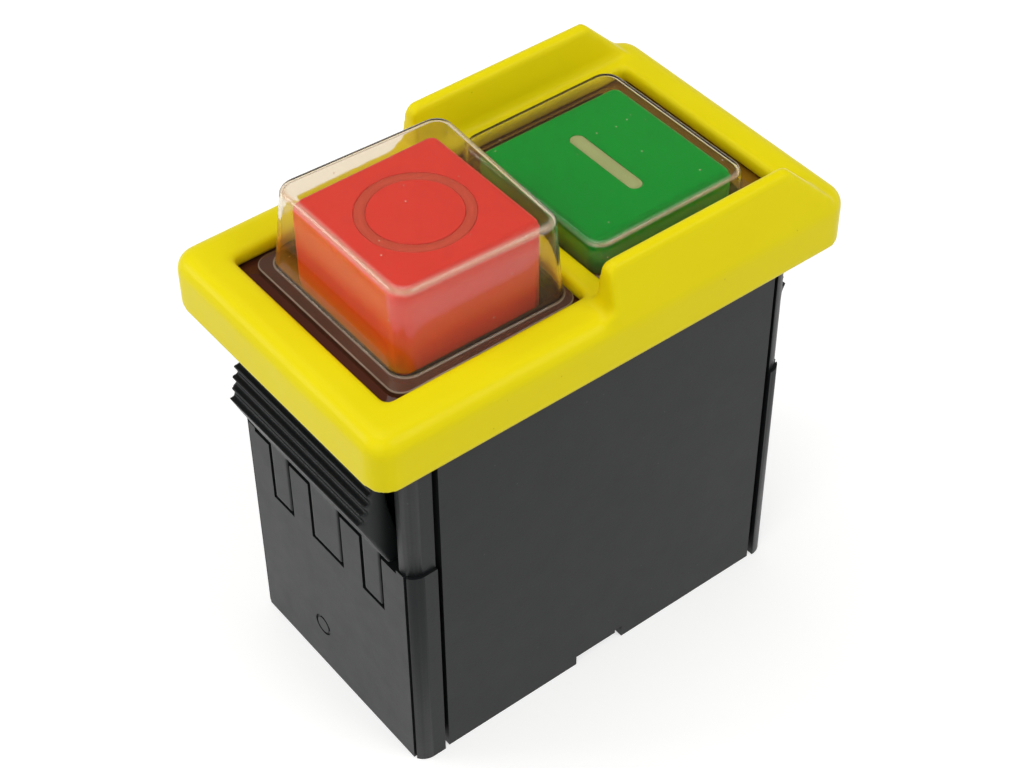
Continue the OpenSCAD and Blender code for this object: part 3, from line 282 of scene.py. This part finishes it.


# soft clear PVC sheet: tinted in its depth, glossy with faint ripples, pale specks of dust, faintly milky
# with a painted pale highlight along its edges, strongest on the sides each boot lists, painted brown or
# yellow-brown where the thick flange lies on the deck, for the deck seen through it and the light it picks
# up ("flange"), and painted yellow in the wall's foot for the yellow rim's light caught there;
# a lamp's light goes straight through to the cap below, less so through the top ("crown")
def clearPvc(name, look):
    mat, tree = emptyMaterial(name)
    place = addNode(tree, "ShaderNodeTexCoord").outputs["Object"]
    hazeAndGlint, flange, yellowRimLight, crown = (addNode(tree, "ShaderNodeAttribute", {"attribute_name": mark}).outputs["Fac"]
                                 for mark in ("hazeAndGlint", "flange", "yellowRimLight", "crown"))
    ripple = addNode(tree, "ShaderNodeTexNoise", {"Scale": perMm(look["rippleMm"]), "Detail": 1.5},
                     {"Vector": place})
    fine = addNode(tree, "ShaderNodeTexNoise", {"Scale": perMm(look["fineMm"]), "Detail": 2.0},
                   {"Vector": place})
    soft = addNode(tree, "ShaderNodeBump", {"Strength": look["rippleBump"], "Distance": bumpMm["wave"] * mm},
                   {"Height": ripple.outputs["Fac"]})
    both = addNode(tree, "ShaderNodeBump", {"Strength": look["fineBump"], "Distance": bumpMm["grain"] * mm},
                   {"Height": fine.outputs["Fac"], "Normal": soft.outputs["Normal"]})
    specks = addNode(tree, "ShaderNodeTexVoronoi", {"Scale": perMm(look["dustMm"])}, {"Vector": place})
    dust = addNode(tree, "ShaderNodeMapRange",
                   {1: look["dustSize"], 2: look["dustSize"] * look["dustCore"], 3: 0.0, 4: look["dustShow"]},
                   {0: specks.outputs["Distance"]})
    uneven = addNode(tree, "ShaderNodeMapRange",
                     {1: noiseLow, 2: noiseHigh, 3: look["milk"] * look["milkThin"],
                      4: look["milk"] * look["milkThick"]}, {0: ripple.outputs["Fac"]})
    # milk: the sheet's real haze together with the painted highlight along the edges
    milk = addNode(tree, "ShaderNodeMath", {"operation": "MULTIPLY"}, {0: hazeAndGlint, 1: uneven.outputs[0]})
    # painted flange shade and bounce: the deck's dark and the light that the flange picks up
    flangeShadeAndBounce = addNode(tree, "ShaderNodeMath", {"operation": "MULTIPLY", 1: look["flangeShadeAndBounce"]}, {0: flange})
    # painted yellow rim light: the yellow rim's light caught in the wall's foot, put in as colour
    glow = addNode(tree, "ShaderNodeMath", {"operation": "MULTIPLY", 1: look["glow"]}, {0: yellowRimLight})
    pale = addNode(tree, "ShaderNodeMath", {"operation": "MAXIMUM"},
                   {0: milk.outputs[0], 1: dust.outputs[0]})
    dense = addNode(tree, "ShaderNodeMath", {"operation": "MAXIMUM"},
                    {0: pale.outputs[0], 1: flangeShadeAndBounce.outputs[0]})
    solid = addNode(tree, "ShaderNodeMath", {"operation": "MAXIMUM"},
                    {0: dense.outputs[0], 1: glow.outputs[0]})
    clear = addNode(tree, "ShaderNodeMapRange", {3: look["clear"], 4: 0.0}, {0: solid.outputs[0]})
    # where the flange is marked, its painted brown or yellow-brown replaces the sheet's colour
    brown = addNode(tree, "ShaderNodeMath", {"operation": "GREATER_THAN", 1: look["flangeShadeAndBounceFrom"]},
                    {0: flangeShadeAndBounce.outputs[0]})
    flangePainted = addNode(tree, "ShaderNodeMix",
                      {"data_type": "RGBA", 6: hexColour(look["colour"]), 7: hexColour(look["flangeShadeAndBounceColour"])},
                      {0: brown.outputs[0]})
    milky = addNode(tree, "ShaderNodeMapRange", {2: look["milkFull"]}, {0: pale.outputs[0]})
    cloudy = addNode(tree, "ShaderNodeMix", {"data_type": "RGBA", 7: hexColour(look["milkColour"])},
                     {0: milky.outputs[0], 6: flangePainted.outputs[2]})
    # the painted yellow rim light is mixed over the milky colour
    rimLit = addNode(tree, "ShaderNodeMapRange", {2: look["rimLightFull"]}, {0: glow.outputs[0]})
    tone = addNode(tree, "ShaderNodeMix", {"data_type": "RGBA", 7: hexColour(look["rimLightColour"])},
                   {0: rimLit.outputs[0], 6: cloudy.outputs[2]})
    held = addNode(tree, "ShaderNodeMapRange", {3: look["wallShade"], 4: look["crownShade"]}, {0: crown})
    path = addNode(tree, "ShaderNodeLightPath")
    shade = addNode(tree, "ShaderNodeMapRange", {3: 1.0},
                    {0: path.outputs["Is Shadow Ray"], 4: held.outputs[0]})
    skin = addNode(tree, "ShaderNodeBsdfPrincipled",
                   {"IOR": look["ior"], "Roughness": look["roughness"], "Sheen Weight": look["haze"],
                    "Sheen Roughness": look["hazeSpread"], "Sheen Tint": hexColour(look["milkColour"])},
                   {"Base Color": tone.outputs[2], "Transmission Weight": clear.outputs[0],
                    "Alpha": shade.outputs[0], "Normal": both.outputs["Normal"]})
    depth = addNode(tree, "ShaderNodeVolumeAbsorption",
                    {"Color": hexColour(look["depthColour"]), "Density": look["depth"]})
    addNode(tree, "ShaderNodeOutputMaterial", links={"Surface": skin.outputs[0], "Volume": depth.outputs[0]})
    return mat


# cream-white sheet, with the strength of each tint, of the painted highlight, flange shade and rim light,
# and the value at which its colour has come in fully
sheetPvc = {"colour": "#FCFAF4", "roughness": 0.05, "ior": 1.33, "clear": 1.0, "depthColour": "#E8D8B0",
            "depth": 650.0, "wallShade": 0.0, "crownShade": 0.2, "haze": 0.12, "hazeSpread": 0.3,
            "milkColour": "#E6D0B8", "milk": 0.29, "milkThin": 0.8, "milkThick": 1.15, "milkFull": 0.25,
            "flangeShadeAndBounce": 0.6, "flangeShadeAndBounceFrom": 0.02, "rimLightColour": "#FFAE3C", "glow": 0.34, "rimLightFull": 0.12,
            "rippleMm": 5, "rippleBump": 0.1, "fineMm": 0.6, "fineBump": 0.1,
            "dustMm": 1.9, "dustSize": 0.05, "dustCore": 0.6, "dustShow": 0.7}
# the stop boot's flange is painted a dark brown for the black deck seen through it and the red and yellow
# light it picks up, the start boot's a yellow-brown for the guards' yellow reflected in it
bootPvc = {"stop": clearPvc("clearSoftPvc", {**sheetPvc, "flangeShadeAndBounceColour": "#6A3826"}),
           "start": clearPvc("clearSoftPvcYellowBounceFlange", {**sheetPvc, "flangeShadeAndBounceColour": "#B4841E"})}
print("boot sheet mixed")

paint = {"bezel": yellowAbs, "upper_housing": blackNylon, "base_housing": blackNylon,
         "latch_stop_end": blackNylon, "latch_start_end": blackNylon, "stop_button": redAbs,
         "start_button": greenAbs, "contact_carriage": ivoryNylon, "coil_bobbin": ivoryNylon,
         "armature": coreSteel, "magnet_yoke": coreSteel, "coil_winding": copperWire}
for name, node in nodes.items():
    if name in paint:
        finish = paint[name]
    elif "spring" in name:
        finish = springWire
    elif "tip" in name:
        finish = silverTip
    elif "lead" in name:
        finish = leadSleeve
    else:
        finish = brassStrip  # tabs, bridges and fixed contacts
    node.data.materials.clear()
    node.data.materials.append(finish)
print("frame painted")

# radius in mm of the moulded edges that the solids leave sharp
edgeRadius = {"upper_housing": 0.18, "base_housing": 0.18, "stop_button": 0.1, "start_button": 0.1,
              "contact_carriage": 0.12, "coil_bobbin": 0.08}
# cell in mm and rounds of relaxing for the pieces whose moulded forms run softly into each other
softForms = {"bezel": (0.27, 8), "latch_stop_end": (0.12, 5), "latch_start_end": (0.12, 5)}
# how near points are merged, which angles count as flat and as an edge, and how strongly a round relaxes
softening = {"mergeMm": 0.0005, "flatDegrees": 0.4, "edgeDegrees": 35, "segments": 2, "relax": 0.5}


# joins the solid's loose triangles into one skin
def mergeTriangles(node, limits):
    weld = node.modifiers.new("mergeTriangles", "WELD")
    weld.merge_threshold = limits["mergeMm"] * mm


# joins flat triangles into faces and rounds each edge that turns more than the edge angle
def softenEdges(node, radius, limits):
    mergeTriangles(node, limits)
    flat = node.modifiers.new("joinFlats", "DECIMATE")
    flat.decimate_type, flat.angle_limit = "DISSOLVE", math.radians(limits["flatDegrees"])
    soft = node.modifiers.new("roundEdges", "BEVEL")
    soft.width, soft.segments, soft.limit_method = radius * mm, limits["segments"], "ANGLE"
    soft.angle_limit, soft.harden_normals = math.radians(limits["edgeDegrees"]), True


# takes the solid as fine cells and relaxes its edges
def blendSurface(node, cell, rounds, limits):
    mergeTriangles(node, limits)
    cells = node.modifiers.new("fineCells", "REMESH")
    cells.mode, cells.voxel_size, cells.use_smooth_shade = "VOXEL", cell * mm, True
    relax = node.modifiers.new("relaxEdges", "SMOOTH")
    relax.factor, relax.iterations = limits["relax"], rounds


for name, radius in edgeRadius.items():
    softenEdges(nodes[name], radius, softening)
for name, (cell, rounds) in softForms.items():
    blendSurface(nodes[name], cell, rounds, softening)
print("edges softened")

# points in each corner and along each side of a rounded rectangle
loopSteps = {"arc": 11, "side": 9}
poleHalf = 0.01  # half size in mm that stands in for a pole's, so that nothing is divided by zero


# points round a rounded rectangle: shares of the corner centres in x and y, then of the corner radius
def rectangleLoop(steps):
    cornerX, cornerY, arcX, arcY = [], [], [], []
    corners = [(1, 1), (-1, 1), (-1, -1), (1, -1)]
    share = np.linspace(0, 1, steps["side"] + 2)[1:-1]
    for quarter, (hereX, hereY) in enumerate(corners):
        nextX, nextY = corners[(quarter + 1) % len(corners)]
        angle = np.linspace(0, np.pi / 2, steps["arc"]) + quarter * np.pi / 2
        cornerX += [np.full(steps["arc"], hereX), hereX + (nextX - hereX) * share]
        cornerY += [np.full(steps["arc"], hereY), hereY + (nextY - hereY) * share]
        arcX += [np.cos(angle), np.full(steps["side"], np.cos(angle[-1]))]
        arcY += [np.sin(angle), np.full(steps["side"], np.sin(angle[-1]))]
    return [np.concatenate(part) for part in (cornerX, cornerY, arcX, arcY)]


# stack of rounded rectangles: each row gives centre and half sizes in x and y, corner radius, height, all in
# mm, and lean, the slope by which a soft piece's far sides have slipped round while its outer end stays put
def stackedLoops(rows, side=1):
    columns = [column[:, None] for column in np.array(rows, float).T]
    centreX, centreY, halfX, halfY, radius, height, lean = columns
    cornerX, cornerY, arcX, arcY = rectangleLoop(loopSteps)
    x = cornerX * (halfX - radius) + arcX * radius
    y = cornerY * (halfY - radius) + arcY * radius
    free = 0.5 - 0.5 * side * x / np.maximum(halfX, poleHalf)  # from 0 at the outer end to 1 at the crossbar
    points = [centreX + x + lean * y * free, centreY + y - lean * x, np.broadcast_to(height, x.shape)]
    return np.stack(points, -1) * mm


# middle and top of each cap in mm
caps = {"stop": {"x": -10.5, "top": 53.5}, "start": {"x": 10.5, "top": 48.4}}
# each boot in mm: outlines of its crown, its flared foot and its bead as centre x, centre y, half x, half y,
# the sides along whose edges the painted highlight is strongest, how much of that the others show, how much
# painted yellow rim light its wall's foot takes, and two heights between which it was to go from standing
# still to following its button, which are read but not used
boots = {"stop": {"side": -1, "crown": 54.6, "edge": 0.85,
                  "top": (-10.05, 0.1, 8.55, 9.2), "topLean": 0.05,
                  "foot": (-10.38, 0.1, 9.02, 9.9), "footLean": 0.02, "bead": (-10.95, 0.0, 9.7, 10.85),
                  "bent": ((-1, 0), (0, -1)), "farGlint": 0.5, "yellowRimLight": 1.0, "fold": (46.0, 53.2)},
         "start": {"side": 1, "crown": 49.5, "edge": 0.6,
                   "top": (10.2, 0.1, 8.85, 9.75), "topLean": 0.0,
                   "foot": (10.35, 0.05, 9.0, 10.2), "footLean": 0.0, "bead": (10.95, 0.0, 9.7, 10.85),
                   "bent": ((0, -1),), "farGlint": 0.2, "yellowRimLight": 0.3, "fold": (45.1, 49.4)}}
# what both boots share in mm, and the shares of the flat top and of the wall at which rows of points lie
bootShape = {"sheet": 0.28, "crownSheet": 0.4, "corner": 1.8, "deck": 44.6, "flange": 0.98,
             "plate": (12.2, 0.0, 12.05, 13.8), "plateCorner": 0.8, "plateEdge": 0.1,
             "bead": 0.6, "beadCorner": 1.5, "beadEdge": 0.15, "beadRoot": 0.1, "beadStep": 0.01,
             "footFillet": 0.25, "crownSteps": 11, "footSteps": 5,
             "flatShares": (0.0, 0.3, 0.6, 0.85), "wallShares": (0.85, 0.7, 0.5, 0.3, 0.15, 0.06),
             "creaseDegrees": 50}
# how milky and how brightly highlighted the sheet is along its profile, and how much painted flange shade
# and painted yellow rim light it takes, from 0 to 1
bootTint = {"crownFocus": 3, "footMilk": 0.1, "foldMilkAndGlint": 0.7, "wallMilk": 0.06, "wallMilkRise": 0.16,
            "rootShadeAndBounce": 0.8, "beadShadeAndBounce": 0.7, "rimLightTo": 0.6, "rimLightBack": 0.25}


# one boot as a closed shell: inner skin from its pole down, under the flange, up over the bead and the wall
# to the outer pole, with four marks at each point for the sheet's finish
def bootShell(name, boot, shape, tint, sheet):
    deck, corner, wallSheet = shape["deck"], shape["corner"], shape["sheet"]
    footLean, topLean = boot["footLean"], boot["topLean"]
    shelf = deck + shape["flange"]
    foot = shelf + shape["bead"]
    shoulder = boot["crown"] - boot["edge"]
    quarter = np.pi / 2
    rows = []
    marks = {"hazeAndGlint": [], "flange": [], "crown": [], "yellowRimLight": []}

    def add(outline, grow, radius, height, lean, hazeAndGlint=0.0, flange=0.0, yellowRimLight=0.0):
        centreX, centreY, halfX, halfY = outline
        rows.append((centreX, centreY, halfX + grow, halfY + grow, radius + grow, height, lean))
        crown = 1.0 if height > shoulder else 0.0
        for mark, value in zip(marks.values(), (hazeAndGlint, flange, crown, yellowRimLight)):
            mark.append(value)

    def between(share):  # outline of the drafted wall, from foot to crown
        return tuple(low + share * (high - low) for low, high in zip(boot["foot"], boot["top"]))

    def crownSkin(inset, drop):  # flat top and rounded edge, inset and dropped from the outer skin
        edge, top = boot["edge"], boot["crown"] - drop
        bow = edge - inset
        centreX, centreY, halfX, halfY = boot["top"]
        flat = [((centreX, centreY, share * (halfX - edge), share * (halfY - edge)), 0.0,
                 share * (corner - edge), top, topLean) for share in shape["flatShares"]]
        # the rounded edge's rows carry the painted highlight, strongest halfway round the edge
        arc = [(boot["top"], bow * np.sin(turn) - edge, corner, top - bow * (1 - np.cos(turn)), topLean,
                np.sin(2 * turn) ** tint["crownFocus"])
               for turn in np.linspace(0, quarter, shape["crownSteps"])]
        return flat + arc

    def foldMilkAndGlint(turn):  # painted highlight and milkiness at a fold, most in the middle of its quarter turn
        return tint["footMilk"] + tint["foldMilkAndGlint"] * np.sin(2 * turn)

    wall = [(share, foot + share * (shoulder - foot), footLean + share * (topLean - footLean))
            for share in shape["wallShares"]]
    for row in crownSkin(wallSheet, shape["crownSheet"]):
        add(*row)
    for share, height, lean in wall:
        add(between(share), -wallSheet, corner, height, lean)
    add(boot["foot"], -wallSheet, corner, shelf, footLean)
    add(boot["foot"], -wallSheet, corner, deck, footLean, flange=1.0)
    plate, edge = (boot["side"] * shape["plate"][0], *shape["plate"][1:]), shape["plateEdge"]
    for grow, height in ((-edge, deck), (0.0, deck + edge), (0.0, shelf - edge), (-edge, shelf)):
        add(plate, grow, shape["plateCorner"], height, 0.0, flange=1.0)
    bead, beadCorner = boot["bead"], shape["beadCorner"]
    add(bead, shape["beadRoot"], beadCorner, shelf, 0.0, flange=1.0)
    add(bead, shape["beadStep"], beadCorner, shelf + shape["beadRoot"], 0.0, flange=tint["rootShadeAndBounce"])
    bow = shape["beadEdge"]
    for turn in np.linspace(quarter, 0, shape["footSteps"]):  # rounded top edge of the bead
        add(bead, bow * (np.sin(turn) - 1), beadCorner, foot - bow * (1 - np.cos(turn)), 0.0,
            foldMilkAndGlint(turn), tint["beadShadeAndBounce"])
    bow = shape["footFillet"]
    for turn in np.linspace(0, quarter, shape["footSteps"]):  # hollow fillet from the bead up into the wall
        add(boot["foot"], bow * (1 - np.sin(turn)), corner, foot + bow * (1 - np.cos(turn)), footLean,
            foldMilkAndGlint(turn), tint["beadShadeAndBounce"] * np.cos(turn))
    for share, height, lean in wall[::-1]:  # faintly milky, more so towards the crown, with painted yellow rim light low on the wall
        add(between(share), 0.0, corner, height, lean, tint["wallMilk"] + tint["wallMilkRise"] * share,
            yellowRimLight=max(0.0, 1 - share / tint["rimLightTo"]))
    for row in crownSkin(0.0, 0.0)[::-1]:
        add(*row)
    outX, outY = rectangleLoop(loopSteps)[2:]
    # the painted highlight is strongest on the sides each boot lists, the painted yellow rim light on the
    # left side
    facing = np.max([bentX * outX + bentY * outY for bentX, bentY in boot["bent"]], 0).clip(0, 1)
    even = np.ones_like(facing)
    left = np.clip(-outX, 0, 1)
    around = {"hazeAndGlint": boot["farGlint"] + (1 - boot["farGlint"]) * facing, "flange": even, "crown": even,
              "yellowRimLight": boot["yellowRimLight"] * (tint["rimLightBack"] + (1 - tint["rimLightBack"]) * left)}
    values = {label: np.outer(mark, around[label]).ravel() for label, mark in marks.items()}
    points = stackedLoops(rows, boot["side"])
    piece = gridMesh(name, points, creaseDegrees=shape["creaseDegrees"], attributes=values)
    piece.data.materials.append(sheet)
    return piece


for button, form in boots.items():
    boot = bootShell(button + "Boot", form, bootShape, bootTint, bootPvc[button])
    low, high = form["fold"]
    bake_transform(boot)
    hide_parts(button + "_boot")
print("boots moulded")

# filling of the engraved marks, in mm: a ring of painted groove shade on the stop cap, a printed bar on the
# start cap; it lies a little above the groove's bottom, shy of the cap's top and clear of the groove's walls,
# with softened edges
markShape = {"ringOuter": 5.25, "ringInner": 4.25, "ringSteps": 96, "barHalfX": 0.75, "barHalfY": 4.7,
             "depth": 0.2, "bed": 0.01, "shy": 0.03, "gap": 0.02, "edgeIn": 0.06, "edgeDown": 0.04}


# flat ring: a profile with two softened upper edges carried round a circle
def markRing(shape, cap):
    around = np.linspace(0, 2 * np.pi, shape["ringSteps"], endpoint=False)
    inner, outer = shape["ringInner"] + shape["gap"], shape["ringOuter"] - shape["gap"]
    low, high = cap["top"] - shape["depth"] + shape["bed"], cap["top"] - shape["shy"]
    edge = high - shape["edgeDown"]
    radius = np.array([inner, inner, inner + shape["edgeIn"], outer - shape["edgeIn"], outer, outer])[:, None]
    height = np.array([low, edge, high, high, edge, low])[:, None]
    x = cap["x"] + radius * np.cos(around)
    points = np.stack([x, radius * np.sin(around), np.broadcast_to(height, x.shape)], -1) * mm
    return gridMesh("stopRingGrooveShade", points, wrapRows=True)


# bar with round ends: stacked outlines from a line on the groove's bottom to a line in the top
def markBar(shape, cap):
    halfX, halfY = shape["barHalfX"] - shape["gap"], shape["barHalfY"] - shape["gap"]
    topX, topY = halfX - shape["edgeIn"], halfY - shape["edgeIn"]
    low, high = cap["top"] - shape["depth"] + shape["bed"], cap["top"] - shape["shy"]
    line = halfY - halfX
    edge = high - shape["edgeDown"]
    outlines = [(0, line, 0, low), (halfX, halfY, halfX, low), (halfX, halfY, halfX, edge),
                (topX, topY, topX, high), (0, line, 0, high)]
    rows = [(cap["x"], 0, *outline, 0) for outline in outlines]
    return gridMesh("startBarPaint", stackedLoops(rows))


stopRing = markRing(markShape, caps["stop"])
stopRing.data.materials.append(ringGrooveShade)
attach(stopRing, "stop")
startBar = markBar(markShape, caps["start"])
startBar.data.materials.append(barPaint)
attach(startBar, "start")
print("marks filled")

# points round the wire and along one turn, and the turns and share of the rise that each flat end takes
coilShape = {"sides": 10, "stepsPerTurn": 28, "flatTurns": 0.6, "flatRise": 0.06, "creaseDegrees": 60}


# round wire on a helix whose end turns lie flat: the angle runs evenly, the height eases at both ends
def springCoil(name, spring, coil):
    turns, sides, wireRadius = spring["turns"], coil["sides"], spring["wire"] / 2
    share = np.linspace(0, 1, int(turns * coil["stepsPerTurn"]))
    angle = share * turns * 2 * np.pi
    flat = coil["flatTurns"] / turns
    rise = np.interp(share, [0, flat, 1 - flat, 1], [0, coil["flatRise"], 1 - coil["flatRise"], 1])
    low, high = spring["low"] + wireRadius, spring["high"] - wireRadius
    height = low + (high - low) * rise
    radius = (spring["outside"] - spring["wire"]) / 2
    rim = np.linspace(0, 2 * np.pi, sides, endpoint=False)
    reach = radius + wireRadius * np.cos(rim)[None, :]
    x = spring["x"] + reach * np.cos(angle)[:, None]
    y = spring["y"] + reach * np.sin(angle)[:, None]
    z = height[:, None] + wireRadius * np.sin(rim)[None, :]
    middle = np.stack([spring["x"] + radius * np.cos(angle), spring["y"] + radius * np.sin(angle), height], 1)
    first, last = (np.broadcast_to(middle[end], (1, sides, 3)) for end in (0, -1))  # close both ends
    points = np.concatenate([first, np.stack([x, y, z], -1), last])
    piece = gridMesh(name, points * mm, creaseDegrees=coil["creaseDegrees"])
    piece.data.materials.append(springWire)
    return piece


# wire in mm, turns, and the body that the upper end was to follow, which nothing reads; place and length come
# from the frame
springs = {"stop_spring": {"wire": 0.6, "turns": 6.5, "body": "stop"},
           "start_spring": {"wire": 0.6, "turns": 5.5, "body": "start"},
           "carriage_spring_front": {"wire": 0.35, "turns": 6, "body": "carriage"},
           "carriage_spring_back": {"wire": 0.35, "turns": 6, "body": "carriage"}}
for node, spring in springs.items():
    lowest, highest = (np.array(corner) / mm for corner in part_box(node))
    x, y = (lowest[:2] + highest[:2]) / 2
    low, high = lowest[2], highest[2]
    place = {"x": x, "y": y, "low": low, "high": high, "outside": highest[0] - lowest[0]}
    coil = springCoil(node.replace("_", "-") + "-coil", {**spring, **place}, coilShape)
    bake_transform(coil)
    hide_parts(node)
print("springs wound")

# floor in mm, its paint, how much that is lifted to white near the part and far away, and where this changes
floorShape = {"half": 900.0, "steps": 12, "colour": "#C4C4C2", "lift": 0.6, "farLift": 0.97,
              "litMm": 280.0, "dimMm": 800.0}


# flat painted floor that stays white to the camera and keeps the soft shadow: the paint's own light makes up
# for the lamps' fall-off, and from below it is clear, so that the underside can be seen
def paleFloor(shape):
    side = np.linspace(-shape["half"], shape["half"], shape["steps"])
    x, y = np.meshgrid(side, side, indexing="ij")
    piece = gridMesh("floor", np.stack([x, y, np.zeros_like(x)], -1) * mm, wrapColumns=False)
    if piece.data.polygons[0].normal.z < 0:
        piece.data.flip_normals()
    mat, tree = emptyMaterial("palePaintedFloor")
    path = addNode(tree, "ShaderNodeLightPath").outputs
    seen = addNode(tree, "ShaderNodeMath", {"operation": "MAXIMUM"},
                   {0: path["Is Camera Ray"], 1: path["Is Glossy Ray"]})
    also = addNode(tree, "ShaderNodeMath", {"operation": "MAXIMUM"},
                   {0: seen.outputs[0], 1: path["Is Transmission Ray"]})
    place = addNode(tree, "ShaderNodeTexCoord").outputs["Object"]
    away = addNode(tree, "ShaderNodeVectorMath", {"operation": "LENGTH"}, {0: place}).outputs["Value"]
    rise = addNode(tree, "ShaderNodeMapRange",
                   {1: shape["litMm"] * mm, 2: shape["dimMm"] * mm, 3: shape["lift"], 4: shape["farLift"]},
                   {0: away})
    lift = addNode(tree, "ShaderNodeMath", {"operation": "MULTIPLY"},
                   {0: also.outputs[0], 1: rise.outputs[0]})
    glow = addNode(tree, "ShaderNodeEmission", {"Color": white}, {"Strength": lift.outputs[0]})
    body = addNode(tree, "ShaderNodeBsdfDiffuse", {"Color": hexColour(shape["colour"])})
    both = addNode(tree, "ShaderNodeAddShader", links={0: glow.outputs[0], 1: body.outputs[0]})
    under = addNode(tree, "ShaderNodeNewGeometry").outputs["Backfacing"]
    gone = addNode(tree, "ShaderNodeBsdfTransparent")
    either = addNode(tree, "ShaderNodeMixShader", links={0: under, 1: both.outputs[0], 2: gone.outputs[0]})
    addNode(tree, "ShaderNodeOutputMaterial", links={"Surface": either.outputs[0]})
    piece.data.materials.append(mat)


paleFloor(floorShape)
print("floor laid")

# soft studio light, in mm and watts: a large box lamp in front on the right, a weaker one on the left,
# one overhead and a small low one behind on the left
lamps = {"keyBox": {"place": (250, -520, 560), "size": 420, "power": 2.15},
         "fillBox": {"place": (-520, -260, 420), "size": 420, "power": 1.1},
         "topBox": {"place": (-60, 160, 700), "size": 500, "power": 1.8},
         "lowBox": {"place": (-430, 340, 250), "size": 200, "power": 0.8}}
lampTarget = (0.0, 0.0, 28.0)
# the room: white walls up to a sine of elevation, then a dim ceiling
studio = {"wall": 0.75, "wallTop": 0.15, "ceilingFrom": 0.6, "ceiling": 0.2}


# hangs one square lamp and turns it so that it looks at the target
def hangLamp(name, box, target):
    data = bpy.data.lights.new(name, "AREA")
    data.shape, data.size, data.energy = "SQUARE", box["size"] * mm, box["power"]
    hung = bpy.data.objects.new(name, data)
    hung.location = np.array(box["place"]) * mm
    aim = (np.array(target) - np.array(box["place"])) * mm
    flat = math.hypot(aim[0], aim[1])
    hung.rotation_euler = (math.atan2(flat, -aim[2]), 0.0, math.atan2(aim[1], aim[0]) - math.pi / 2)
    bpy.context.scene.collection.objects.link(hung)


# room light that falls off smoothly from walls to ceiling; where the floor ends the camera sees plain white,
# which puts no more light on the caps
def whiteRoom(room):
    world = bpy.data.worlds.new("studioWorld")
    bpy.context.scene.world = world
    world.use_nodes = True
    tree = world.node_tree
    tree.nodes.clear()
    ray = addNode(tree, "ShaderNodeTexCoord").outputs["Generated"]
    rise = addNode(tree, "ShaderNodeSeparateXYZ", links={"Vector": ray}).outputs["Z"]
    level = addNode(tree, "ShaderNodeMapRange",
                    {"interpolation_type": "SMOOTHSTEP", 1: room["wallTop"], 2: room["ceilingFrom"],
                     3: room["wall"], 4: room["ceiling"]}, {0: rise})
    path = addNode(tree, "ShaderNodeLightPath")
    shown = addNode(tree, "ShaderNodeMath", {"operation": "MAXIMUM"},
                    {0: path.outputs["Is Camera Ray"], 1: level.outputs[0]})
    sky = addNode(tree, "ShaderNodeBackground", {"Color": white}, {"Strength": shown.outputs[0]})
    addNode(tree, "ShaderNodeOutputWorld", links={"Surface": sky.outputs[0]})


for name, box in lamps.items():
    hangLamp(name, box, lampTarget)
whiteRoom(studio)
bpy.context.scene.view_settings.view_transform = "Standard"  # shows the colours as they were mixed
print("studio lit")
